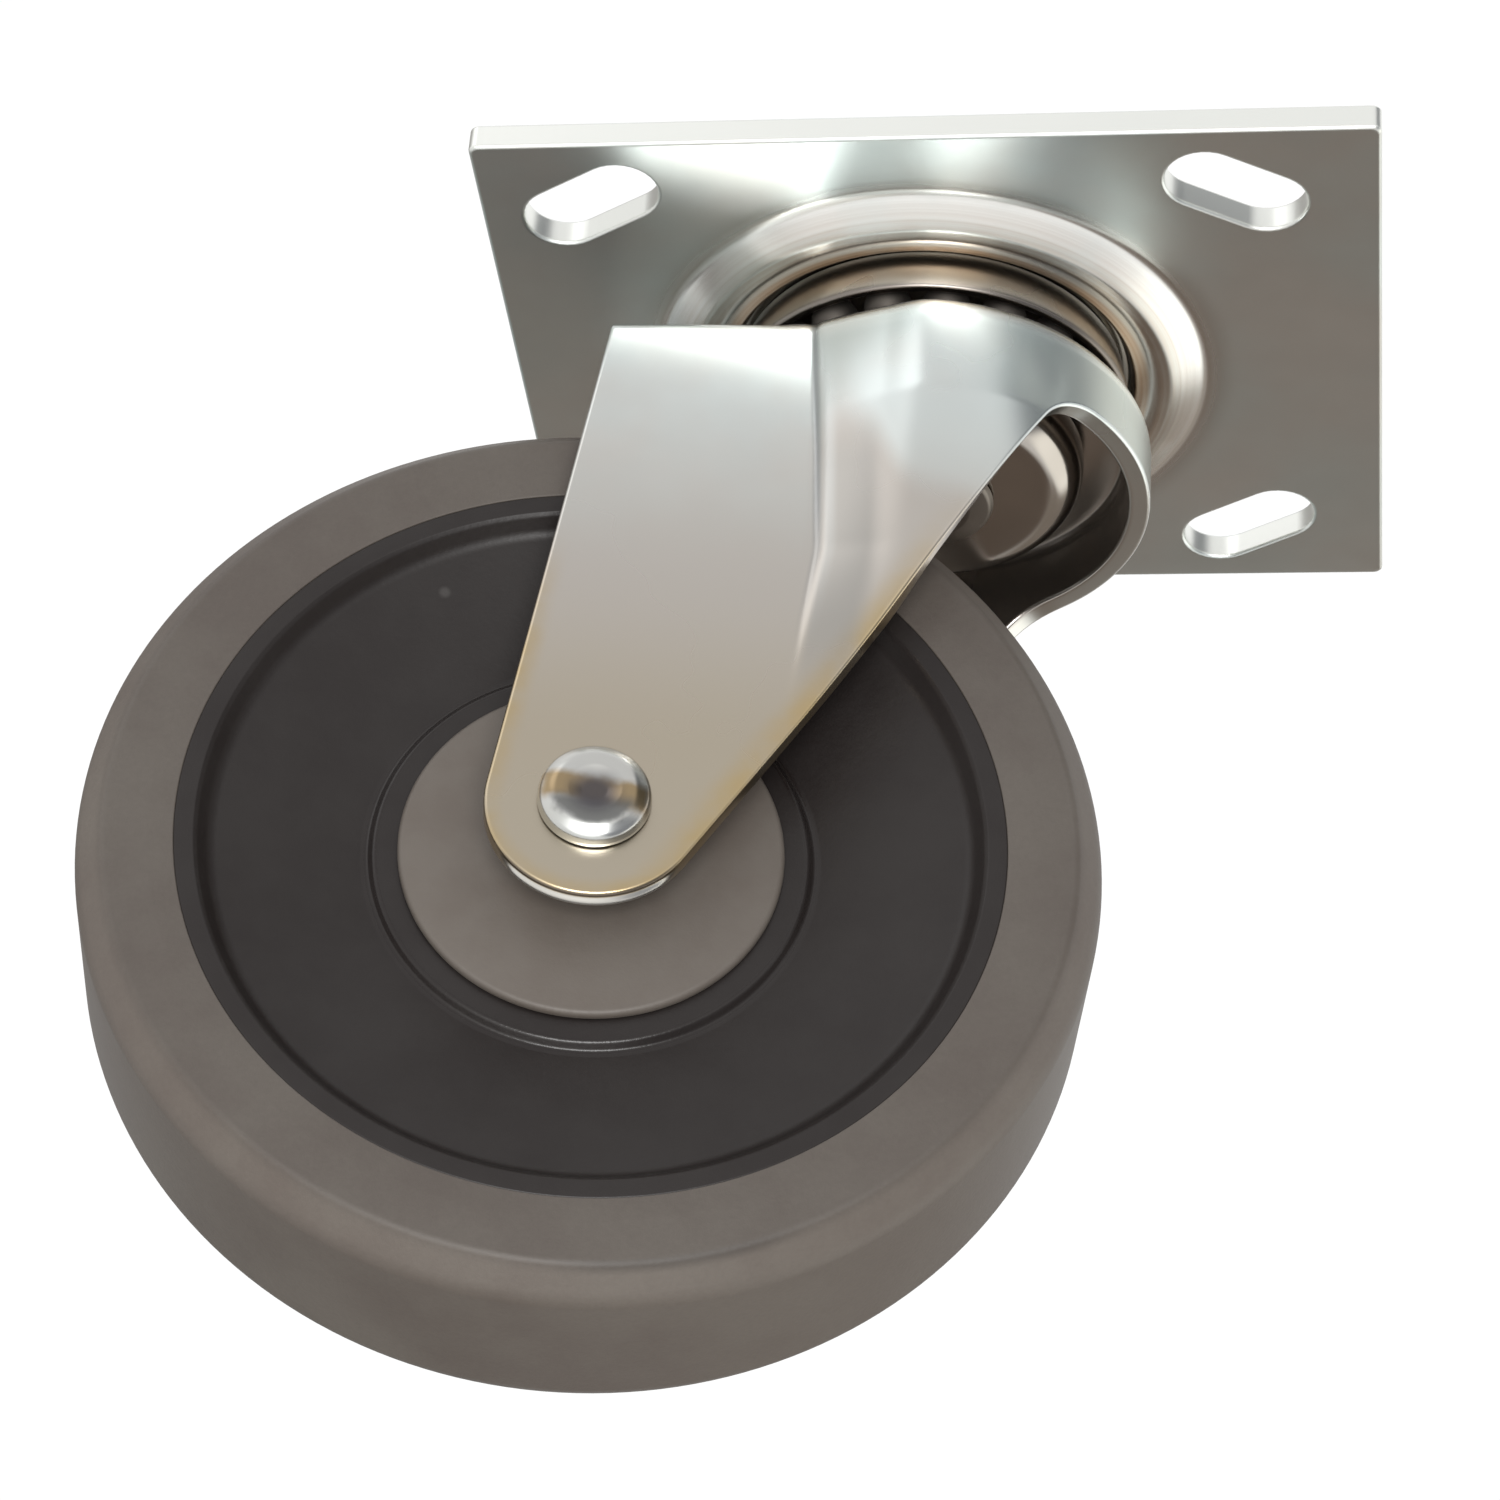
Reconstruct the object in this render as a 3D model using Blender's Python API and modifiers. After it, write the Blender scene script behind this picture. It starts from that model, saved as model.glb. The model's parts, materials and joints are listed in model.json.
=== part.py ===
"""Swivel gate wheel: a 5 inch rubber-tyred caster wheel in a pressed fork under a slotted plate.

Metres, +Z up.  The origin is the centre of the kingpin on the plate's upper, bolted face, and
+X runs along the plate's long side.  The fork and the wheel are modelled in the fork's frame,
which is turned about the kingpin by SWIVEL_ANGLE: the wheel trails towards its -X, and its -Y
faces the near leg.  Heights below the plate are given from the plate's underside.
"""

import math

import bmesh
import bpy
from mathutils import Matrix

GAP = 0.0003                      # clearance kept between touching pieces
WELD = 0.00005                    # merge distance for turned and converted meshes

# Top plate, with the 2 5/8 x 3 5/8 inch bolt pattern slotted to 3 x 3 inch
PLATE_LENGTH = 0.1175
PLATE_WIDTH = 0.09525
PLATE_THICKNESS = 0.004
PLATE_OFFSET = 0.002              # the plate's middle lies this far along +X from the kingpin
SLOT_OUTER = (0.04605, 0.03335)   # middle of a slot's round end nearest the short side
SLOT_INNER = (0.0381, 0.0381)     # middle of its other round end
SLOT_WIDTH = 0.0103               # clears a 3/8 inch bolt
UNDERSIDE = -PLATE_THICKNESS

# Swivel head: two rings of quarter-inch balls, above and below the fork's crown
BEAD_RADII = (0.0276, 0.0362)     # inner and outer foot of the pressed ring under the plate
BEAD_DEPTH = 0.003
BEAD_GROOVE_DEPTH = 0.0026        # the hollow of the same ring, seen from above
HEAD_RECESS_RADIUS = 0.0125
HEAD_RECESS_DEPTH = 0.0028
HEAD_BOSS_RADIUS = 0.0161         # what the kingpin's seat stands out below the plate
BALL_RADIUS = 0.003175
UPPER_BALL_COUNT = 18
UPPER_BALL_CIRCLE = 0.0221
LOWER_BALL_COUNT = 13
LOWER_BALL_CIRCLE = 0.0158
CROWN_RADIUS = 0.030
CROWN_TOP = 0.010                 # depth of the crown's top face
CROWN_RIM = 0.0223                # depth of the crown's lower rim
CROWN_HOLE = 0.009
CROWN_SHOULDER = 0.0025
KINGPIN_RADIUS = 0.00635
KINGPIN_TAIL = (0.003, 0.0018)    # how far the upset end stands out round the pin, and below
UPPER_RACE_RADII = (0.0175, 0.0262, 0.0272)   # inner, outer at the top, outer at the lower lip
UPPER_RACE_LIP = 0.0075
LOWER_RACE_RADIUS = 0.021
LOWER_RACE_FLAT = 0.0163          # radius of the flat end of the lower race cup
RACE_SHEET = 0.0016
RACE_CORNER = 0.001               # inside corners of both races

# Fork
SWIVEL_ANGLE = math.radians(9.55)
TRAIL = 0.03934                   # from the kingpin axis back to the axle
AXLE_DEPTH = 0.0886
SHEET = 0.003
LEG_FACE = 0.022                  # from the wheel's middle to a leg's outer face
LEG_END_RADIUS = 0.0135
LEG_REAR_TOP = (-0.0434, 0.0163)  # (x, depth) where the leg's rear edge meets the web
NOSE_SLOPE = 1.66                 # fall over run of the leg's front edge
RIM_FILLET = 0.008                # where that edge runs into the crown's lower rim
WEB_SLOPE = math.radians(8)       # the web between the legs falls away to the rear
WEB_BEND = 0.005
CREASE_X = -0.017                 # the flat leg turns outwards into the crown here
CREASE_WIDTH = 0.0035
BULGE_FADE = (0.026, 0.074)       # depths between which the outward bulge fades to nothing

# Wheel
WHEEL_RADIUS = 0.0635
TREAD_HALF_WIDTH = 0.0157
TREAD_SHOULDER = 0.005
CORE_RADIUS = 0.0517
CORE_LIP = 0.0487                 # inner radius of the core's flat lip
CORE_FACE = 0.0154
CORE_FLOOR = 0.009                # half thickness of the dished web beside the boss
CORE_DISH = (0.0458, 0.0126)      # radius and half thickness where the web turns up to the lip
CORE_DRAFT = 0.001                # how far a moulded wall leans
BOSS_RADIUS = 0.0278
BOSS_HALF_LENGTH = 0.0099
GUARD_RADIUS = 0.024
GUARD_SHEET = 0.0014
GUARD_DOME = 0.0012
GUARD_EDGE = 0.0008
AXLE_RADIUS = 0.0047625           # 3/8 inch
BUSHING_RADIUS = 0.007
BEARING_RADIUS = 0.0097
AXLE_HEAD_RADIUS = 0.0070
AXLE_HEAD_HEIGHT = 0.0029

# Facets round a full turn
TREAD_STEPS = 56
RING_STEPS = 40
SMALL_STEPS = 20
BALL_STEPS = (8, 6)


def clear_scene():
    """Remove everything that the startup file brings."""
    for obj in list(bpy.data.objects):
        bpy.data.objects.remove(obj, do_unlink=True)


def new_collection(name):
    """Make a collection in the scene."""
    collection = bpy.data.collections.new(name)
    bpy.context.scene.collection.children.link(collection)
    return collection


def make_material(name, colour, roughness, metallic):
    """Make a Principled material."""
    material = bpy.data.materials.new(name)
    material.use_nodes = True
    shader = material.node_tree.nodes["Principled BSDF"]
    shader.inputs["Base Color"].default_value = (*colour, 1.0)
    shader.inputs["Roughness"].default_value = roughness
    shader.inputs["Metallic"].default_value = metallic
    return material


def below(depth):
    """Height in the part's frame of a depth under the plate."""
    return UNDERSIDE - depth


def arc(centre, radius, start, end, count):
    """Points on an arc, both ends included, with angles in degrees."""
    points = []
    for index in range(count + 1):
        angle = math.radians(start + (end - start) * index / count)
        x = centre[0] + radius * math.cos(angle)
        y = centre[1] + radius * math.sin(angle)
        points.append((x, y))
    return points


def add_object(name, mesh, collection, material=None):
    """Put a mesh in the scene as a named object."""
    obj = bpy.data.objects.new(name, mesh)
    collection.objects.link(obj)
    if material:
        mesh.materials.append(material)
    return obj


def turned(name, profile, collection, material=None, steps=RING_STEPS, ring=False):
    """Turn an (r, z) profile about Z.  It runs down its outer side; a ring's profile closes."""
    mesh = bpy.data.meshes.new(name)
    edges = [(index, index + 1) for index in range(len(profile) - 1)]
    if ring:
        edges.append((len(profile) - 1, 0))
    mesh.from_pydata([(r, 0.0, z) for r, z in profile], edges, [])
    obj = add_object(name, mesh, collection, material)
    screw = obj.modifiers.new("Turn", "SCREW")
    screw.axis = "Z"
    screw.angle = 2 * math.pi
    screw.steps = steps
    screw.render_steps = steps
    screw.use_merge_vertices = True
    screw.merge_threshold = WELD
    screw.use_smooth_shade = True
    return obj


def prism(name, outline, thickness, collection, material=None):
    """Make a closed solid from a flat outline in XY, thick along Z about its middle."""
    curve = bpy.data.curves.new(name, "CURVE")
    curve.dimensions = "2D"
    curve.fill_mode = "BOTH"
    curve.extrude = thickness / 2
    spline = curve.splines.new("POLY")
    spline.points.add(len(outline) - 1)
    for point, (x, y) in zip(spline.points, outline):
        point.co = (x, y, 0.0, 1.0)
    spline.use_cyclic_u = True
    guide = bpy.data.objects.new(name + "_outline", curve)
    collection.objects.link(guide)
    depsgraph = bpy.context.evaluated_depsgraph_get()
    mesh = bpy.data.meshes.new_from_object(guide.evaluated_get(depsgraph))
    bpy.data.objects.remove(guide, do_unlink=True)
    shape = bmesh.new()
    shape.from_mesh(mesh)
    bmesh.ops.remove_doubles(shape, verts=shape.verts, dist=WELD)
    bmesh.ops.recalc_face_normals(shape, faces=shape.faces)
    shape.to_mesh(mesh)
    shape.free()
    mesh.name = name
    return add_object(name, mesh, collection, material)


def box(name, low, high, collection):
    """Make a box between two corners, with its scale in the mesh."""
    mesh = bpy.data.meshes.new(name)
    size = [b - a for a, b in zip(low, high)]
    middle = [(a + b) / 2 for a, b in zip(low, high)]
    shape = bmesh.new()
    matrix = Matrix.Translation(middle) @ Matrix.Diagonal((*size, 1.0))
    bmesh.ops.create_cube(shape, size=1.0, matrix=matrix)
    shape.to_mesh(mesh)
    shape.free()
    return add_object(name, mesh, collection)


def combine(target, tool, operation):
    """Cut the target with a tool, join it on or keep what they share; the tool stays a guide."""
    modifier = target.modifiers.new(tool.name, "BOOLEAN")
    modifier.operation = operation
    modifier.solver = "EXACT"
    modifier.object = tool
    tool.hide_render = True
    tool.display_type = "WIRE"


def stadium(start, end, width):
    """Outline of a slot with round ends about two points."""
    heading = math.degrees(math.atan2(end[1] - start[1], end[0] - start[0]))
    outline = arc(start, width / 2, heading + 90, heading + 270, 6)
    return outline + arc(end, width / 2, heading - 90, heading + 90, 6)


def make_top_plate(part, cutters, steel):
    """Flat plate with four slots, a pressed ring round the swivel and a sunk kingpin seat."""
    plate = box(
        "top_plate",
        (PLATE_OFFSET - PLATE_LENGTH / 2, -PLATE_WIDTH / 2, UNDERSIDE),
        (PLATE_OFFSET + PLATE_LENGTH / 2, PLATE_WIDTH / 2, 0.0),
        part,
    )
    plate.data.materials.append(steel)
    inner, outer = BEAD_RADII
    crest = (inner + outer) / 2
    half = (outer - inner) / 2
    sunk = UNDERSIDE + PLATE_THICKNESS / 2

    bead_profile = [(inner, sunk), (outer, sunk), (outer, UNDERSIDE)]
    bead_profile += [
        (crest + half * 0.72, below(BEAD_DEPTH * 0.72)),
        (crest + half * 0.25, below(BEAD_DEPTH)),
        (crest - half * 0.45, below(BEAD_DEPTH * 0.94)),
        (inner + half * 0.12, below(BEAD_DEPTH * 0.6)),
        (inner, UNDERSIDE),
    ]
    bead = turned("bead_form", bead_profile, cutters, ring=True)
    combine(plate, bead, "UNION")

    groove_profile = [
        (crest - half * 0.55, GAP),
        (crest + half * 0.55, GAP),
        (crest + half * 0.3, -BEAD_GROOVE_DEPTH * 0.75),
        (crest, -BEAD_GROOVE_DEPTH),
        (crest - half * 0.3, -BEAD_GROOVE_DEPTH * 0.75),
    ]
    groove = turned("groove_form", groove_profile, cutters, ring=True)
    combine(plate, groove, "DIFFERENCE")

    boss_profile = [
        (0.0, sunk),
        (HEAD_BOSS_RADIUS, sunk),
        (HEAD_BOSS_RADIUS, below(HEAD_RECESS_DEPTH - RACE_CORNER)),
        (HEAD_BOSS_RADIUS - RACE_CORNER, below(HEAD_RECESS_DEPTH)),
        (0.0, below(HEAD_RECESS_DEPTH)),
    ]
    combine(plate, turned("boss_form", boss_profile, cutters), "UNION")

    hole = KINGPIN_RADIUS + GAP
    recess_profile = [
        (0.0, GAP),
        (HEAD_RECESS_RADIUS, GAP),
        (HEAD_RECESS_RADIUS, -HEAD_RECESS_DEPTH),
        (hole, -HEAD_RECESS_DEPTH),
        (hole, below(CROWN_TOP)),
        (0.0, below(CROWN_TOP)),
    ]
    combine(plate, turned("recess_form", recess_profile, cutters), "DIFFERENCE")

    for side_x in (1, -1):
        for side_y in (1, -1):
            ends = [(side_x * x, side_y * y) for x, y in (SLOT_OUTER, SLOT_INNER)]
            name = f"slot_form_{'r' if side_x > 0 else 'l'}{'b' if side_y > 0 else 'f'}"
            slot = prism(name, stadium(*ends, SLOT_WIDTH), PLATE_THICKNESS * 3, cutters)
            combine(plate, slot, "DIFFERENCE")


def make_kingpin(part, steel):
    """Rivet with its head sunk in the plate and its other end upset under the lower race."""
    tail = below(lower_race_floor() + RACE_SHEET + GAP)
    spread, drop = KINGPIN_TAIL
    head = HEAD_RECESS_RADIUS - GAP
    profile = [
        (0.0, -GAP),
        (head - GAP, -GAP),
        (head, -2 * GAP),
        (head, GAP - HEAD_RECESS_DEPTH),
        (KINGPIN_RADIUS, GAP - HEAD_RECESS_DEPTH),
        (KINGPIN_RADIUS, tail),
        (KINGPIN_RADIUS + spread, tail),
        (KINGPIN_RADIUS + spread * 0.8, tail - drop * 0.5),
        (KINGPIN_RADIUS, tail - drop * 0.9),
        (0.0, tail - drop),
    ]
    turned("kingpin", profile, part, steel, SMALL_STEPS)


def upper_ball_depth():
    """Depth of the upper balls' middles, which roll on the crown's top face."""
    return CROWN_TOP - GAP - BALL_RADIUS


def lower_ball_depth():
    """Depth of the lower balls' middles, which roll under the crown."""
    return CROWN_TOP + SHEET + GAP + BALL_RADIUS


def lower_race_floor():
    """Depth of the lower race's inner floor, just under its balls."""
    return lower_ball_depth() + BALL_RADIUS + GAP


def make_upper_race(part, steel):
    """Pressed ring under the plate that the upper balls roll in, with a flared lip outside them."""
    inner, top, lip = UPPER_RACE_RADII
    roof = upper_ball_depth() - BALL_RADIUS - GAP
    wall = UPPER_BALL_CIRCLE + BALL_RADIUS + GAP
    profile = [
        (inner, below(GAP)),
        (top, below(GAP)),
        (lip, below(UPPER_RACE_LIP)),
        (lip - RACE_SHEET * 0.8, below(UPPER_RACE_LIP)),
        (wall, below(roof + RACE_CORNER)),
        (wall - RACE_CORNER, below(roof)),
        (inner, below(roof)),
    ]
    turned("upper_race", profile, part, steel, ring=True)


def make_lower_race(part, steel):
    """Cup under the crown that holds the lower balls, riveted on by the kingpin."""
    floor = lower_race_floor()
    wall = LOWER_BALL_CIRCLE + BALL_RADIUS + GAP
    bottom = floor + RACE_SHEET
    lip = CROWN_TOP + SHEET + RACE_CORNER
    hole = KINGPIN_RADIUS + GAP
    shoulder = LOWER_RACE_RADIUS - LOWER_RACE_FLAT
    middle = (LOWER_RACE_FLAT, below(bottom - shoulder))
    profile = [(wall, below(lip)), (LOWER_RACE_RADIUS, below(lip))]
    profile += arc(middle, shoulder, 0, -90, 4)
    profile += [
        (hole, below(bottom)),
        (hole, below(floor)),
        (wall - RACE_CORNER, below(floor)),
        (wall, below(floor - RACE_CORNER)),
    ]
    turned("lower_race", profile, part, steel, ring=True)


def make_balls(prefix, count, circle, depth, part, steel):
    """A ring of loose balls, each its own piece sharing one mesh."""
    mesh = bpy.data.meshes.new(prefix)
    shape = bmesh.new()
    around, up = BALL_STEPS
    bmesh.ops.create_uvsphere(shape, u_segments=around, v_segments=up, radius=BALL_RADIUS)
    shape.to_mesh(mesh)
    shape.free()
    mesh.shade_smooth()
    mesh.materials.append(steel)
    for index in range(count):
        angle = 2 * math.pi * index / count
        ball = bpy.data.objects.new(f"{prefix}_{index + 1:02d}", mesh)
        ball.location = (circle * math.cos(angle), circle * math.sin(angle), below(depth))
        ball.rotation_euler = (0.0, 0.0, angle)
        part.objects.link(ball)


def tangent_point(centre, radius, point, side):
    """Where a line from a point touches a circle; side is +1 or -1."""
    dx = point[0] - centre[0]
    dy = point[1] - centre[1]
    bearing = math.atan2(dy, dx)
    spread = math.acos(radius / math.hypot(dx, dy))
    angle = bearing + side * spread
    return angle, (centre[0] + radius * math.cos(angle), centre[1] + radius * math.sin(angle))


def leg_outline():
    """Side view of the fork, as (x, height below the plate): both legs and the crown share it."""
    axle = (-TRAIL, -AXLE_DEPTH)
    rear_top = (LEG_REAR_TOP[0], -LEG_REAR_TOP[1])
    rear_angle, rear_point = tangent_point(axle, LEG_END_RADIUS, rear_top, 1)
    front_angle = -math.atan(1 / NOSE_SLOPE)
    start = math.degrees(rear_angle)
    end = math.degrees(front_angle) + 360
    foot = arc(axle, LEG_END_RADIUS, start, end, 12)

    front_point = foot[-1]
    rim = -CROWN_RIM
    corner_x = front_point[0] + (rim - front_point[1]) / NOSE_SLOPE
    turn = math.atan(NOSE_SLOPE)
    back = RIM_FILLET * math.tan(turn / 2)
    fillet_middle = (corner_x + back, rim - RIM_FILLET)
    fillet = arc(fillet_middle, RIM_FILLET, 90 + math.degrees(turn), 90, 4)

    rear_run = (rear_top[0] - rear_point[0]) / (rear_top[1] - rear_point[1])
    rear_high = (rear_top[0] - rear_top[1] * rear_run, 0.0)
    front_x = CROWN_RADIUS + SHEET
    return [rear_high] + foot + fillet + [(front_x, rim), (front_x, 0.0)]


def channel_outline():
    """Section of the web and legs, (y, z) from the web's top face: a channel open below."""
    reach = AXLE_DEPTH + 0.02
    bend = WEB_BEND
    inner = bend - SHEET
    outer_right = arc((LEG_FACE - bend, -bend), bend, 90, 0, 4)
    outer_left = arc((bend - LEG_FACE, -bend), bend, 180, 90, 4)
    inner_left = arc((bend - LEG_FACE, -bend), inner, 90, 180, 3)
    inner_right = arc((LEG_FACE - bend, -bend), inner, 0, 90, 3)
    outline = outer_left + outer_right
    outline += [(LEG_FACE, -reach), (LEG_FACE - SHEET, -reach)]
    outline += inner_right + inner_left
    outline += [(SHEET - LEG_FACE, -reach), (-LEG_FACE, -reach)]
    return outline


def bulge(x, depth):
    """How far a leg stands out from its flat face in front of the crease."""
    full = math.sqrt(CROWN_RADIUS ** 2 - x ** 2) - LEG_FACE
    start, end = BULGE_FADE
    fade = min(max((end - depth) / (end - start), 0.0), 1.0)
    ramp = min(max((x - CREASE_X) / CREASE_WIDTH + 0.5, 0.0), 1.0)
    return full * fade * ramp


def make_bulge_sheet(name, side, cutters):
    """The outward-curved front of a leg, from behind the crease round to the crown's skirt."""
    half_width = -CREASE_X + 0.004
    top = CROWN_TOP + 0.004
    reach = BULGE_FADE[1] + 0.004
    sunk = GAP / 2
    shape = bmesh.new()
    bmesh.ops.create_grid(shape, x_segments=14, y_segments=7, size=1.0)
    for vert in shape.verts:
        x = vert.co.x * half_width
        depth = top + (1 - vert.co.y) / 2 * (reach - top)
        vert.co = (x, side * (LEG_FACE - sunk + bulge(x, depth)), -depth)
    shape.normal_update()
    outward = sum(face.normal.y for face in shape.faces) * side > 0
    mesh = bpy.data.meshes.new(name)
    shape.to_mesh(mesh)
    shape.free()
    sheet = add_object(name, mesh, cutters)
    solid = sheet.modifiers.new("Thickness", "SOLIDIFY")
    solid.thickness = SHEET
    solid.offset = -1.0 if outward else 1.0
    return sheet


def make_crown(cutters):
    """The round cup that the balls run on, open towards the wheel and cut back to the legs."""
    shoulder = CROWN_SHOULDER
    trimmed_rim = -CROWN_RIM - RACE_CORNER
    inside = CROWN_RADIUS - SHEET
    under = -CROWN_TOP - SHEET
    profile = [(CROWN_HOLE, -CROWN_TOP)]
    profile += arc((CROWN_RADIUS - shoulder, -CROWN_TOP - shoulder), shoulder, 90, 0, 4)
    profile += [
        (CROWN_RADIUS, trimmed_rim),
        (inside, trimmed_rim),
        (inside, under - RACE_CORNER),
        (inside - RACE_CORNER, under),
        (CROWN_HOLE, under),
    ]
    crown = turned("crown_form", profile, cutters, ring=True)
    reach = CROWN_RADIUS + 0.01
    rear = CREASE_X - 0.001
    hollow_top = under - GAP / 3
    hollow = box("wheel_side_form", (-reach, -reach, -reach), (rear, reach, hollow_top), cutters)
    combine(crown, hollow, "DIFFERENCE")
    near = LEG_FACE - GAP
    for name, low, high in (("near", -reach, -near), ("far", near, reach)):
        crease = box(f"crease_form_{name}", (-reach, low, -reach), (CREASE_X, high, 0.0), cutters)
        combine(crown, crease, "DIFFERENCE")
    return crown


def make_fork(part, cutters, steel):
    """Pressed fork: a round crown for the balls, a web over the wheel and two tapering legs."""
    length = 0.06                     # longer than the web, and trimmed by the side outline
    overlap = 0.004                   # how far the web runs under the crown's top
    fork = prism("fork_yoke", channel_outline(), length, part, steel)
    to_side = Matrix(((0, 0, 1, 0), (1, 0, 0, 0), (0, 1, 0, 0), (0, 0, 0, 1)))
    web_end = Matrix.Translation((CREASE_X + overlap, 0.0, -CROWN_TOP - GAP))
    tilt = Matrix.Rotation(-WEB_SLOPE, 4, "Y")
    back = Matrix.Translation((-length / 2, 0.0, 0.0))
    fork.data.transform(web_end @ tilt @ back @ to_side)

    wide = LEG_FACE + 0.01
    low = (CREASE_X, -wide, -BULGE_FADE[1])
    front = box("leg_front_form", low, (CROWN_RADIUS, wide, 0.0), cutters)
    combine(fork, front, "DIFFERENCE")
    clear = LOWER_RACE_RADIUS + RACE_CORNER
    well_profile = [(0.0, 0.0), (clear, 0.0), (clear, -CROWN_RIM), (0.0, -CROWN_RIM)]
    combine(fork, turned("race_well_form", well_profile, cutters), "DIFFERENCE")
    combine(fork, make_crown(cutters), "UNION")
    for side, name in ((1, "bulge_form_far"), (-1, "bulge_form_near")):
        combine(fork, make_bulge_sheet(name, side, cutters), "UNION")

    outline = prism("side_form", leg_outline(), 4 * LEG_FACE, cutters)
    outline.data.transform(Matrix.Rotation(math.radians(90), 4, "X"))
    combine(fork, outline, "INTERSECT")

    hole = AXLE_RADIUS + GAP
    reach = LEG_FACE + 0.01
    profile = [(0.0, reach), (hole, reach), (hole, -reach), (0.0, -reach)]
    drill = turned("axle_hole_form", profile, cutters, steps=SMALL_STEPS)
    drill.rotation_euler = (math.radians(90), 0.0, 0.0)
    drill.location = (-TRAIL, 0.0, -AXLE_DEPTH)
    combine(fork, drill, "DIFFERENCE")
    return fork


def make_axle(part, steel):
    """Riveted axle: a round shank with a dimpled head outside each leg."""
    seat = LEG_FACE + GAP
    head = [(0.0, 0.6), (0.3, 0.65), (0.42, 0.92), (0.6, 1.0), (0.86, 0.86), (1.0, 0.5), (1.0, 0.0)]
    top = [(r * AXLE_HEAD_RADIUS, seat + z * AXLE_HEAD_HEIGHT) for r, z in head]
    top.append((AXLE_RADIUS, seat))
    bottom = [(r, -z) for r, z in reversed(top)]
    return turned("axle", top + bottom, part, steel, SMALL_STEPS)


def tube_profile(inner, outer, half_length):
    """Closed section of a plain tube."""
    return [(inner, half_length), (outer, half_length), (outer, -half_length), (inner, -half_length)]


def mirrored(half):
    """A symmetric ring section from its upper half, which runs from the bore to the rim."""
    return half + [(r, -z) for r, z in reversed(half)]


def make_tread(part, rubber):
    """Solid rubber tyre with round shoulders."""
    rim = WHEEL_RADIUS
    shoulder = TREAD_SHOULDER
    half = [(CORE_RADIUS, TREAD_HALF_WIDTH - GAP / 2), (CORE_RADIUS + GAP, TREAD_HALF_WIDTH)]
    half += arc((rim - shoulder, TREAD_HALF_WIDTH - shoulder), shoulder, 90, 0, 4)
    return turned("tread", mirrored(half), part, rubber, TREAD_STEPS, ring=True)


def make_core(part, plastic):
    """Moulded core: a lip under the tyre, a dished web and a boss for the bearing."""
    bore = BEARING_RADIUS + GAP
    half = [
        (bore, BOSS_HALF_LENGTH),
        (BOSS_RADIUS - CORE_DRAFT, BOSS_HALF_LENGTH),
        (BOSS_RADIUS, CORE_FLOOR),
        CORE_DISH,
        (CORE_LIP, CORE_FACE),
        (CORE_RADIUS - GAP, CORE_FACE),
    ]
    return turned("wheel_core", mirrored(half), part, plastic, TREAD_STEPS, ring=True)


def make_guard(name, part, plastic):
    """Round thread guard, slightly domed, that covers the end of the bearing."""
    hole = BUSHING_RADIUS + GAP
    seat = BOSS_HALF_LENGTH + GAP
    face = seat + GUARD_SHEET
    profile = [
        (hole, face + GUARD_DOME),
        (GUARD_RADIUS * 0.6, face + GUARD_DOME / 2),
        (GUARD_RADIUS - GUARD_EDGE, face),
        (GUARD_RADIUS, face - GUARD_EDGE),
        (GUARD_RADIUS, seat),
        (hole, seat),
    ]
    return turned(name, profile, part, plastic, RING_STEPS, ring=True)


def hang(obj, parent, location=(0.0, 0.0, 0.0), turn_x=0.0):
    """Parent an object to an empty and set its place there."""
    obj.parent = parent
    obj.location = location
    obj.rotation_euler = (turn_x, 0.0, 0.0)


def add_empty(name, collection, parent=None, location=(0.0, 0.0, 0.0), turn_z=0.0):
    """A frame for pieces that move together, on their joint's axis."""
    empty = bpy.data.objects.new(name, None)
    collection.objects.link(empty)
    empty.parent = parent
    empty.location = location
    empty.rotation_euler = (0.0, 0.0, turn_z)
    return empty


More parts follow.
